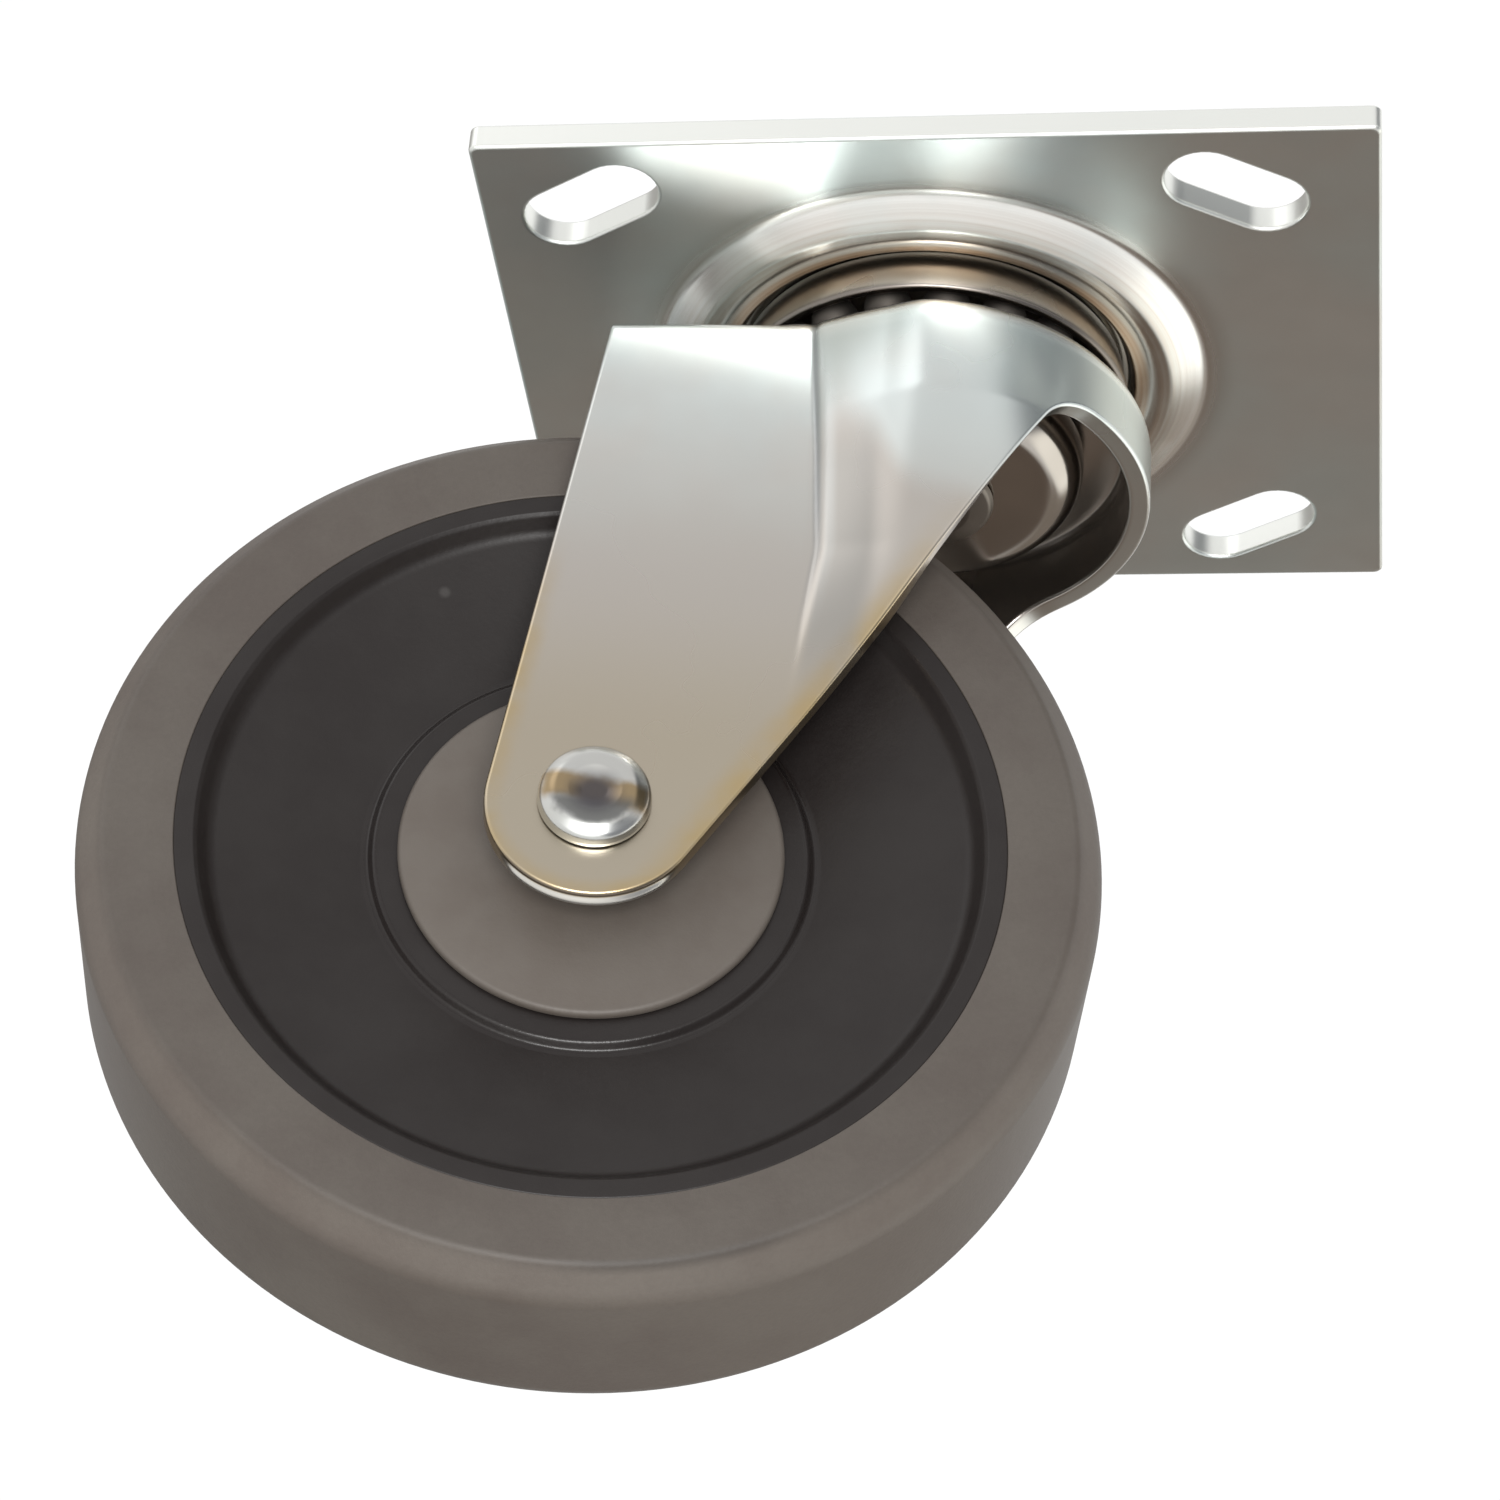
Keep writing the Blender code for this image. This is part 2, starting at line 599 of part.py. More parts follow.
def main():
    """Build the whole gate wheel."""
    clear_scene()
    part = new_collection("gate_wheel")
    cutters = new_collection("cutters")

    zinc = make_material("zinc_plated_steel", (0.52, 0.53, 0.52), 0.35, 0.9)
    bright = make_material("bearing_steel", (0.6, 0.6, 0.6), 0.15, 1.0)
    rubber = make_material("grey_rubber", (0.12, 0.105, 0.09), 0.65, 0.0)
    black = make_material("black_plastic", (0.02, 0.018, 0.017), 0.45, 0.0)
    grey = make_material("grey_plastic", (0.125, 0.11, 0.1), 0.5, 0.0)
    acetal = make_material("acetal", (0.75, 0.74, 0.7), 0.4, 0.0)

    make_top_plate(part, cutters, zinc)
    make_kingpin(part, zinc)
    make_upper_race(part, zinc)
    make_lower_race(part, zinc)
    make_balls("upper_ball", UPPER_BALL_COUNT, UPPER_BALL_CIRCLE, upper_ball_depth(), part, bright)
    make_balls("lower_ball", LOWER_BALL_COUNT, LOWER_BALL_CIRCLE, lower_ball_depth(), part, bright)

    swivel = add_empty("swivel_frame", part, turn_z=SWIVEL_ANGLE)
    axle_place = (-TRAIL, 0.0, below(AXLE_DEPTH))
    wheel = add_empty("wheel_frame", part, parent=swivel, location=axle_place)
    facing = math.radians(90)

    fork_cutters = new_collection("fork_cutters")
    under_plate = add_empty("fork_frame", part, parent=swivel, location=(0.0, 0.0, UNDERSIDE))
    make_fork(part, fork_cutters, zinc).parent = under_plate
    for tool in fork_cutters.objects:
        tool.parent = under_plate
    hang(make_axle(part, zinc), swivel, axle_place, facing)
    bushing_profile = tube_profile(AXLE_RADIUS + GAP, BUSHING_RADIUS, LEG_FACE - SHEET - GAP)
    bushing = turned("axle_bushing", bushing_profile, part, bright, SMALL_STEPS, ring=True)
    hang(bushing, swivel, axle_place, facing)

    bearing_profile = tube_profile(BUSHING_RADIUS + GAP, BEARING_RADIUS, BOSS_HALF_LENGTH)
    bearing = turned("hub_bearing", bearing_profile, part, acetal, SMALL_STEPS, ring=True)
    hang(bearing, wheel, turn_x=facing)
    hang(make_tread(part, rubber), wheel, turn_x=facing)
    hang(make_core(part, black), wheel, turn_x=facing)
    hang(make_guard("thread_guard_near", part, grey), wheel, turn_x=facing)
    hang(make_guard("thread_guard_far", part, grey), wheel, turn_x=-facing)


main()
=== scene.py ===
"""The looks of the gate wheel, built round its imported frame.

Metres, in the frame of the CAD.  Pieces of the fork and wheel are made in the fork's own frame,
which is turned about the kingpin: the wheel trails towards -X, and +h (-Y) is the near side.
Depths are below the plate's underside.
"""

import json
import math

import bmesh
import bpy
import numpy as np
from mathutils import Matrix, Vector
from mathutils.geometry import delaunay_2d_cdt

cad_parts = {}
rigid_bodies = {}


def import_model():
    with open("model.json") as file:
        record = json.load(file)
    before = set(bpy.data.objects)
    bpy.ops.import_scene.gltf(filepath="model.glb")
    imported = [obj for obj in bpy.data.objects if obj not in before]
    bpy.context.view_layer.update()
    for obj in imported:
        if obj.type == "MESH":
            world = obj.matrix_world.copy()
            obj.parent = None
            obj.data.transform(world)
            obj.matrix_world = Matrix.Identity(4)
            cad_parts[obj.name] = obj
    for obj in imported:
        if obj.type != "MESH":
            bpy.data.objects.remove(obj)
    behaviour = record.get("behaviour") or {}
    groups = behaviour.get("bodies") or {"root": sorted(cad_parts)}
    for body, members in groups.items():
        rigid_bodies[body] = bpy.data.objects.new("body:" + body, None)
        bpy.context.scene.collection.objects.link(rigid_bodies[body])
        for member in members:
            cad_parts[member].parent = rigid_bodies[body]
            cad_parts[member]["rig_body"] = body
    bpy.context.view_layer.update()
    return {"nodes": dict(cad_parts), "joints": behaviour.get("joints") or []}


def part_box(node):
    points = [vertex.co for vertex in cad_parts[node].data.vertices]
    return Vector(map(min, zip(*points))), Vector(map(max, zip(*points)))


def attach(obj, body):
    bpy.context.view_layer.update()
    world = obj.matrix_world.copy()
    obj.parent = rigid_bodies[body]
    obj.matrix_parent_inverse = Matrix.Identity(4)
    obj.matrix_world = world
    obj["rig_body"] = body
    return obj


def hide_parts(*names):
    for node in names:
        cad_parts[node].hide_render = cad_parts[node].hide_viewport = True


OWN_PLACE = "own_place"
PAST_CREASE = "past_crease"

# Plate
PLATE_THICKNESS = 0.004
PLATE_CORNER = 0.0012
PLATE_EDGE = 0.00055
SLOT_OUTER = (0.04605, 0.03335)
SLOT_INNER = (0.0381, 0.0381)
SLOT_WIDTH = 0.0103
DISC_RADIUS = 0.0462              # the part of the plate that is turned about the kingpin
DISC_SLACK = 0.000007             # a facet's middle may lie this far inside the disc's edge
SLOT_SLACK = 0.00004              # and this far inside a slot's
PLATE_STEPS = 192

# Fork
CROWN_RADIUS = 0.030
CROWN_TOP = 0.010
CROWN_RIM = 0.0223
CROWN_HOLE = 0.009
SHEET = 0.0029
SHEET_EDGE = 0.0005
LEG_FACE = 0.022
LEG_END_RADIUS = 0.0135
AXLE_DEPTH = 0.0886
REAR_TOP = (-0.0434, 0.0163)
NOSE_SLOPE = 1.66
RIM_FILLET = 0.008
WEB_START = -0.0161
WEB_FALL = math.tan(math.radians(8))
BEND_PLACES = (-0.043, -0.034, -0.025, -0.017, -0.005, 0.012, 0.024)
BENDS = (0.0014, 0.0018, 0.0024, 0.0030, 0.0036, 0.0042, 0.0045)
CREASE_DEPTHS = (0.013, 0.032, 0.048, 0.059, 0.070)
CREASE_PLACES = (-0.0171, -0.0156, -0.0147, -0.0160, -0.0172)
CREASE_RISE = 0.62
CREASE_STEP = 0.0006
BULGE_FADE = (0.026, 0.074)

# Pins
KINGPIN_RADIUS = 0.00635
KINGPIN_BORE = 0.0067
KINGPIN_TAIL = 0.0219             # depth of the upset end's upper side
AXLE_RADIUS = 0.0047625
AXLE_BORE = 0.00505
DRILL_REACH = 0.04                # past both legs

# Radius at which the balls' finish is laid out
BALL_PATTERN = 0.0025

# Facets round a full turn
WHEEL_STEPS = 192
ROUND_STEPS = 128

# Studio: the surroundings, as lobes of (direction, from, to, colour) laid over each other
SURROUNDINGS = (1.0, 1.0, 0.98)
WORLD_LOBES = (
    ((0.0, 0.0, 1.0), -0.05, 0.15, (1.05, 1.05, 1.05)),
    ((0.02, -0.80, -0.60), 0.80, 0.93, (1.8, 1.8, 1.76)),
    ((0.0, -0.83, 0.56), 0.70, 0.93, (0.85, 0.85, 0.85)),
    ((-0.44, -0.64, 0.63), 0.955, 0.99, (1.65, 1.65, 1.65)),
    ((-0.75, 0.35, 0.56), 0.80, 0.95, (0.35, 0.34, 0.33)),
    ((0.80, -0.26, 0.56), 0.87, 0.95, (0.16, 0.17, 0.18)),
    ((0.80, -0.35, -0.50), 0.80, 0.92, (0.30, 0.31, 0.33)),
    ((-0.60, 0.75, -0.25), 0.85, 0.95, (0.30, 0.32, 0.31)),
    ((-0.10, 0.60, -0.79), 0.86, 0.92, (0.175, 0.140, 0.114)),
    ((0.40, 0.89, -0.22), 0.87, 0.95, (0.34, 0.30, 0.26)),
    ((0.62, 0.62, -0.48), 0.955, 0.985, (1.4, 1.4, 1.35)),
    ((0.80, 0.50, -0.40), 0.88, 0.95, (1.7, 1.7, 1.6)),
)

FLOOR_HALF = 20.0
FLOOR_HEIGHT = -1.5
CAMERA_AZIMUTH = 0.153220621
CAMERA_ELEVATION = -0.591861512
CAMERA_ROLL = 0.0794374
CAMERA_TARGET = (-0.0208907, 0.0002, -0.065995)
CAMERA_DISTANCE = 0.620342
CAMERA_LENS = 115.02
LIGHT_PLACE = (0.14, -0.95, -0.62)
LIGHT_TARGET = (-0.02, 0.0, -0.07)
LIGHT_SIZE = (0.5, 0.4)
LIGHT_POWER = 8.0

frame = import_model()
joints = {joint["name"]: joint for joint in frame["joints"]}
axle_place = Vector(joints["wheel_spin"]["pos_m"])
axle_axis = Vector(joints["wheel_spin"]["axis"])
plate_low, plate_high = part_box("top_plate")
TRAIL = math.hypot(axle_place.x, axle_place.y)
SWIVEL = math.atan2(axle_axis.x, -axle_axis.y)
UNDERSIDE = -PLATE_THICKNESS
FORK_FRAME = Matrix.Rotation(SWIVEL, 4, "Z")
BALL_NODES = sorted(name for name in frame["nodes"] if "_ball_" in name)
WHEEL_FRAME = Matrix.Translation(axle_place) @ FORK_FRAME @ Matrix.Rotation(math.pi / 2, 4, "X")


# ---------------------------------------------------------------- mesh helpers

def smoothstep(low, high, value):
    """Ease from 0 at low to 1 at high."""
    t = np.clip((value - low) / (high - low), 0.0, 1.0)
    return t * t * (3 - 2 * t)


def soft_max(a, b, k):
    """The larger of two values, rounded where they cross."""
    return np.maximum(a, b) + np.maximum(k - np.abs(a - b), 0.0) ** 2 / (4 * k)


def soft_min(a, b, k):
    """The smaller of two values, rounded where they cross."""
    return -soft_max(-a, -b, k)


def filleted(corners, closed=False, count=6):
    """A path through (x, y, radius) corners, each rounded to its radius."""
    path = []
    total = len(corners)
    for index, corner in enumerate(corners):
        here = Vector(corner[:2])
        radius = corner[2] if len(corner) > 2 else 0.0
        end = not closed and index in (0, total - 1)
        if radius <= 0.0 or end:
            path.append((here.x, here.y))
            continue
        before = (Vector(corners[index - 1][:2]) - here).normalized()
        after = (Vector(corners[(index + 1) % total][:2]) - here).normalized()
        half = math.acos(max(-1.0, min(1.0, before.dot(after)))) / 2
        bisector = (before + after).normalized()
        middle = here + bisector * (radius / math.sin(half))
        start = here + before * (radius / math.tan(half)) - middle
        stop = here + after * (radius / math.tan(half)) - middle
        sweep = start.angle_signed(stop)
        for step in range(count + 1):
            turn = Matrix.Rotation(-sweep * step / count, 2)
            point = middle + turn @ start
            path.append((point.x, point.y))
    return path


def add_piece(name, verts, faces, place=None):
    """Make a mesh object from points and faces."""
    mesh = bpy.data.meshes.new(name)
    mesh.from_pydata([tuple(v) for v in verts], [], faces)
    obj = bpy.data.objects.new(name, mesh)
    bpy.context.scene.collection.objects.link(obj)
    if place is not None:
        obj.matrix_world = place
    return obj


def finish_mesh(obj, weld=2e-6, sharp=35):
    """Weld, point the faces outwards and shade smooth up to sharp corners."""
    shape = bmesh.new()
    shape.from_mesh(obj.data)
    bmesh.ops.remove_doubles(shape, verts=shape.verts, dist=weld)
    bmesh.ops.recalc_face_normals(shape, faces=shape.faces)
    shape.to_mesh(obj.data)
    shape.free()
    obj.data.shade_smooth()
    obj.data.set_sharp_from_angle(angle=math.radians(sharp))
    return obj


def even_normals(obj):
    """Let large flat faces lead the shading of the small ones beside them."""
    modifier = obj.modifiers.new("Even shading", "WEIGHTED_NORMAL")
    modifier.weight = 100
    modifier.keep_sharp = True
    return obj


def lathe_grid(profile, steps, closed=False):
    """Points and faces of an (r, z) profile turned about Z."""
    verts = []
    rings = []
    for r, z in profile:
        if r < 1e-7:
            rings.append([len(verts)] * steps)
            verts.append((0.0, 0.0, z))
            continue
        rings.append(list(range(len(verts), len(verts) + steps)))
        for step in range(steps):
            angle = 2 * math.pi * step / steps
            verts.append((r * math.cos(angle), r * math.sin(angle), z))
    faces = []
    pairs = list(zip(rings, rings[1:]))
    if closed:
        pairs.append((rings[-1], rings[0]))
    for upper, lower in pairs:
        for step in range(steps):
            after = (step + 1) % steps
            corners = [upper[step], upper[after], lower[after], lower[step]]
            face = list(dict.fromkeys(corners))
            if len(face) > 2:
                faces.append(face)
    return verts, faces


def lathe(name, profile, steps=ROUND_STEPS, closed=False, place=None):
    """A turned piece."""
    verts, faces = lathe_grid(profile, steps, closed)
    return finish_mesh(add_piece(name, verts, faces, place))


# ---------------------------------------------------------------- top plate

def rectangle_loop(inset):
    """The plate's outline moved in by an inset, with round corners."""
    low_x = plate_low.x + inset
    low_y = plate_low.y + inset
    high_x = plate_high.x - inset
    high_y = plate_high.y - inset
    radius = PLATE_CORNER - inset * 0.5
    corners = [
        (low_x, low_y, radius),
        (high_x, low_y, radius),
        (high_x, high_y, radius),
        (low_x, high_y, radius),
    ]
    return filleted(corners, closed=True, count=6)


def slot_ends(side_x, side_y):
    """Middles of the two round ends of one slot."""
    start = Vector((side_x * SLOT_OUTER[0], side_y * SLOT_OUTER[1]))
    end = Vector((side_x * SLOT_INNER[0], side_y * SLOT_INNER[1]))
    return start, end


def slot_loop(side_x, side_y, grow):
    """The outline of one slot, grown by an amount."""
    start, end = slot_ends(side_x, side_y)
    along = (end - start).normalized()
    heading = math.atan2(along.y, along.x)
    radius = SLOT_WIDTH / 2 + grow
    loop = []
    for middle, first in ((start, 0.5), (end, -0.5)):
        for step in range(17):
            angle = heading + math.pi * (first + step / 16)
            x = middle.x + radius * math.cos(angle)
            y = middle.y + radius * math.sin(angle)
            loop.append((x, y))
    return loop


def edge_profile(height_low, height_high, radius, count=4):
    """(inset, z) down a wall whose two edges are rounded."""
    points = []
    for step in range(count + 1):
        angle = math.pi / 2 * step / count
        rounding = radius * (1 - math.cos(angle))
        points.append((radius * (1 - math.sin(angle)), height_high - rounding))
    for step in range(count + 1):
        angle = math.pi / 2 * (1 - step / count)
        rounding = radius * (1 - math.cos(angle))
        points.append((radius * (1 - math.sin(angle)), height_low + rounding))
    return points


def make_plate():
    """Flat plate with rolled slot edges, a pressed ring and a sunk seat for the kingpin."""
    verts = []
    faces = []
    walls = edge_profile(UNDERSIDE, 0.0, PLATE_EDGE)
    loops = [rectangle_loop]
    for side_x in (1, -1):
        for side_y in (1, -1):
            loops.append(lambda inset, sx=side_x, sy=side_y: slot_loop(sx, sy, inset))
    circle = []
    for step in range(PLATE_STEPS):
        angle = 2 * math.pi * step / PLATE_STEPS
        circle.append((DISC_RADIUS * math.cos(angle), DISC_RADIUS * math.sin(angle)))
    for loop in loops:
        base = len(verts)
        count = len(loop(0.0))
        for inset, z in walls:
            verts.extend((x, y, z) for x, y in loop(inset))
        for row in range(len(walls) - 1):
            for index in range(count):
                after = (index + 1) % count
                a = base + row * count
                b = a + count
                faces.append([a + index, a + after, b + after, b + index])
    flat = []
    edges = []
    for points in [loop(PLATE_EDGE) for loop in loops] + [circle]:
        base = len(flat)
        flat.extend(Vector(point) for point in points)
        edges.extend((base + i, base + (i + 1) % len(points)) for i in range(len(points)))
    points, _, triangles, _, _, _ = delaunay_2d_cdt(flat, edges, [], 1, 1e-7)
    slots = [(sx, sy) for sx in (1, -1) for sy in (1, -1)]
    for z in (UNDERSIDE, 0.0):
        base = len(verts)
        verts.extend((p.x, p.y, z) for p in points)
        for triangle in triangles:
            centre = sum((points[i] for i in triangle), Vector((0.0, 0.0))) / len(triangle)
            if centre.length < DISC_RADIUS - DISC_SLACK:
                continue
            if any(inside_slot(centre, sx, sy) for sx, sy in slots):
                continue
            faces.append([base + i for i in triangle])

    low = UNDERSIDE
    turned = filleted([
        (DISC_RADIUS, low),
        (0.0370, low, 0.0030),
        (0.0326, low - 0.0026, 0.0024),
        (0.0304, low - 0.0030, 0.0034),
        (0.0275, low - 0.0021, 0.0012),
        (0.0268, low, 0.0004),
        (0.0161, low, 0.0003),
        (0.0161, low - 0.0028, 0.0008),
        (KINGPIN_BORE, low - 0.0028, 0.0003),
        (KINGPIN_BORE, -0.0028, 0.0002),
        (0.0126, -0.0028, 0.0004),
        (0.0128, 0.0, 0.0005),
        (0.0283, 0.0, 0.0016),
        (0.0318, -0.0027, 0.0022),
        (0.0353, 0.0, 0.0016),
        (DISC_RADIUS, 0.0),
    ])
    more, quads = lathe_grid(turned, PLATE_STEPS)
    base = len(verts)
    verts.extend(more)
    faces.extend([base + i for i in quad] for quad in quads)
    return even_normals(finish_mesh(add_piece("slotted_top_plate", verts, faces), sharp=60))


def inside_slot(point, side_x, side_y):
    """Whether a point lies in one of the slots."""
    start, end = slot_ends(side_x, side_y)
    along = end - start
    share = max(0.0, min(1.0, (point - start).dot(along) / along.length_squared))
    return (point - start - along * share).length < SLOT_WIDTH / 2 + PLATE_EDGE - SLOT_SLACK


# ---------------------------------------------------------------- fork

def crease_place(depth):
    """Where the flat of a leg ends, at each depth."""
    return np.interp(depth, CREASE_DEPTHS, CREASE_PLACES)


def leg_offset(x, depth):
    """How far the outer face lies from the wheel's middle."""
    drum = np.sqrt(np.maximum(CROWN_RADIUS ** 2 - x ** 2, 1e-10))
    past = x - crease_place(depth)
    slope = LEG_FACE + CREASE_STEP * smoothstep(0.0, 0.0012, past) + CREASE_RISE * past
    full = soft_max(soft_min(drum, slope, 0.0040), LEG_FACE, 0.0002)
    full += (drum - full) * smoothstep(-0.008, 0.0, x)
    fade = np.clip((BULGE_FADE[1] - depth) / (BULGE_FADE[1] - BULGE_FADE[0]), 0.0, 1.0)
    return LEG_FACE + (full - LEG_FACE) * fade


def top_depth(x, h):
    """Depth of the crown's flat top and of the web that falls away behind it."""
    web = CROWN_TOP + WEB_FALL * soft_max(WEB_START - x, 0.0 * x, 0.002)
    return CROWN_TOP + (web - CROWN_TOP) * smoothstep(0.0270, 0.0302, np.hypot(x, h))


def rear_bearing(radius, top):
    """Bearing from the axle to where the leg's rear edge meets its round end."""
    gap = (top[0] + TRAIL, AXLE_DEPTH - top[1])
    return math.atan2(gap[1], gap[0]) + math.acos(radius / math.hypot(*gap))


def lower_edge(inset):
    """Side view of the lower boundary: round the foot, up the nose and on to the crown's rim."""
    radius = LEG_END_RADIUS - inset
    axle = (-TRAIL, AXLE_DEPTH)
    start = rear_bearing(radius, (REAR_TOP[0] + inset * 1.01, REAR_TOP[1]))
    stop = 2 * math.pi - math.atan(1 / NOSE_SLOPE)
    path = []
    for step in range(41):
        angle = start + (stop - start) * step / 40
        path.append((axle[0] + radius * math.cos(angle), axle[1] - radius * math.sin(angle)))
    foot = path[-1]
    rim = CROWN_RIM - inset
    corner = foot[0] + (foot[1] - rim) / NOSE_SLOPE
    turn = math.atan(NOSE_SLOPE)
    fillet = RIM_FILLET + inset
    back = fillet * math.tan(turn / 2)
    for step in range(13):
        angle = math.pi / 2 + turn * (1 - step / 12)
        x = corner + back + fillet * math.cos(angle)
        path.append((x, rim + fillet - fillet * math.sin(angle)))
    return path


def resample(path, count):
    """Points at equal spacing along a path."""
    path = np.array(path)
    run = np.concatenate([[0.0], np.cumsum(np.hypot(*np.diff(path, axis=0).T))])
    at = np.linspace(0.0, run[-1], count)
    return np.stack([np.interp(at, run, path[:, 0]), np.interp(at, run, path[:, 1])], axis=1)


def evened(directions, reach):
    """Directions along a row, each averaged with its neighbours."""
    padded = np.pad(directions, ((reach, reach), (0, 0)), mode="edge")
    window = 2 * reach + 1
    sums = np.cumsum(np.vstack([np.zeros(2), padded]), axis=0)
    result = (sums[window:] - sums[:-window]) / window
    result[-reach:] = directions[-reach:]
    return result / np.linalg.norm(result, axis=1)[:, None]


def fork_half(leg_columns=150, rim_columns=30, top_rows=24, bend_rows=7, wall_rows=58):
    """Rows of points (x, h, depth) for one side of the fork's outer face."""
    foot = resample(lower_edge(SHEET_EDGE), leg_columns)
    leg_end_x = foot[-1, 0]
    rear_x = REAR_TOP[0] + SHEET_EDGE
    plan_x = np.linspace(rear_x, 0.0, 400)
    outline = np.stack([plan_x, leg_offset(plan_x, np.full(400, 0.012))], axis=1)
    angle = np.linspace(math.pi / 2, math.acos(leg_end_x / CROWN_RADIUS), 200)[1:]
    round_part = np.stack([CROWN_RADIUS * np.cos(angle), CROWN_RADIUS * np.sin(angle)], axis=1)
    outline = resample(np.concatenate([outline, round_part]), leg_columns)
    angle = np.linspace(math.acos(leg_end_x / CROWN_RADIUS), 0.0, rim_columns + 1)[1:]
    front = np.stack([CROWN_RADIUS * np.cos(angle), CROWN_RADIUS * np.sin(angle)], axis=1)
    outline = np.concatenate([outline, front])
    rim = np.stack([front[:, 0], np.full(rim_columns, CROWN_RIM - SHEET_EDGE)], axis=1)
    foot = np.concatenate([foot, rim])

    heading = np.gradient(outline, axis=0)
    heading /= np.linalg.norm(heading, axis=1)[:, None]
    inward = np.stack([heading[:, 1], -heading[:, 0]], axis=1)
    inward[-1] = (-1.0, 0.0)
    inward[0] = (0.0, -1.0)
    inward = evened(inward, 15)
    count = len(outline)
    behind = outline[:, 0] < crease_place(0.013)
    last_web = int(np.nonzero(behind)[0][-1])
    hole = CROWN_HOLE + SHEET_EDGE
    inner = np.zeros((count, 2))
    share = np.linspace(0.0, 1.0, last_web + 1)
    inner[:last_web + 1, 0] = rear_x + (-hole - rear_x) * share
    turn = np.linspace(math.pi, 0.0, count - last_web)
    inner[last_web:, 0] = hole * np.cos(turn)
    inner[last_web:, 1] = hole * np.sin(turn)
    bend = np.interp(outline[:, 0], BEND_PLACES, BENDS)

    rows = []
    bend_start = outline + inward * bend[:, None]
    for share in np.linspace(0.0, 1.0, top_rows, endpoint=False):
        place = inner + (bend_start - inner) * share
        rows.append(np.column_stack([place, top_depth(place[:, 0], place[:, 1])]))
    edge_depth = top_depth(outline[:, 0], outline[:, 1])
    for share in np.linspace(0.0, 1.0, bend_rows):
        angle = share * math.pi / 2
        place = outline + inward * (bend * (1 - math.sin(angle)))[:, None]
        depth = top_depth(place[:, 0], place[:, 1]) * (1 - share) + edge_depth * share
        rows.append(np.column_stack([place, depth + bend * (1 - math.cos(angle))]))
    start = np.column_stack([outline[:, 0], edge_depth + bend])
    for share in np.linspace(0.0, 1.0, wall_rows + 1)[1:]:
        place = start + (foot - start) * share
        side = leg_offset(place[:, 0], place[:, 1])
        side[-1] = 0.0
        rows.append(np.column_stack([place[:, 0], side, place[:, 1]]))
    return np.array(rows)


def thickened(verts, faces, thickness, radius, count=4):
    """Closed sheet metal from an open outer surface, with its sheared edges rounded."""
    shape = bmesh.new()
    points = [shape.verts.new(v) for v in verts]
    for face in faces:
        shape.faces.new([points[i] for i in face])
    bmesh.ops.remove_doubles(shape, verts=shape.verts, dist=2e-6)
    bmesh.ops.recalc_face_normals(shape, faces=shape.faces)
    shape.normal_update()
    if max(shape.faces, key=lambda f: f.calc_center_median().z).normal.z < 0:
        bmesh.ops.reverse_faces(shape, faces=shape.faces)
        shape.normal_update()
    shape.verts.ensure_lookup_table()
    outer = [v.co.copy() for v in shape.verts]
    normals = [v.normal.copy() for v in shape.verts]
    quads = [[v.index for v in f.verts] for f in shape.faces]
    outward = {}
    rim = []
    for edge in shape.edges:
        if len(edge.link_faces) != 1:
            continue
        loop = edge.link_loops[0]
        a = loop.vert.index
        b = loop.link_loop_next.vert.index
        away = (outer[b] - outer[a]).cross(edge.link_faces[0].normal).normalized()
        rim.append((a, b))
        for index in (a, b):
            outward[index] = outward.get(index, Vector()) + away
    shape.free()

    points = list(outer)
    inner = [p - n * thickness for p, n in zip(outer, normals)]
    first_inner = len(points)
    points += inner
    result = [list(quad) for quad in quads]
    result += [[first_inner + i for i in reversed(quad)] for quad in quads]
    columns = {}
    for index, away in outward.items():
        away = away - normals[index] * away.dot(normals[index])
        away.normalize()
        column = [index]
        for step in range(1, count + 1):
            angle = math.pi / 2 * step / count
            down = normals[index] * (radius * (1 - math.cos(angle)))
            column.append(len(points))
            points.append(outer[index] + away * (radius * math.sin(angle)) - down)
        for step in range(count, 0, -1):
            angle = math.pi / 2 * step / count
            up = normals[index] * (radius * (1 - math.cos(angle)))
            column.append(len(points))
            points.append(inner[index] + away * (radius * math.sin(angle)) + up)
        column.append(first_inner + index)
        columns[index] = column
    for a, b in rim:
        for step in range(len(columns[a]) - 1):
            here, there = columns[a], columns[b]
            result.append([here[step + 1], there[step + 1], there[step], here[step]])
    return points, result


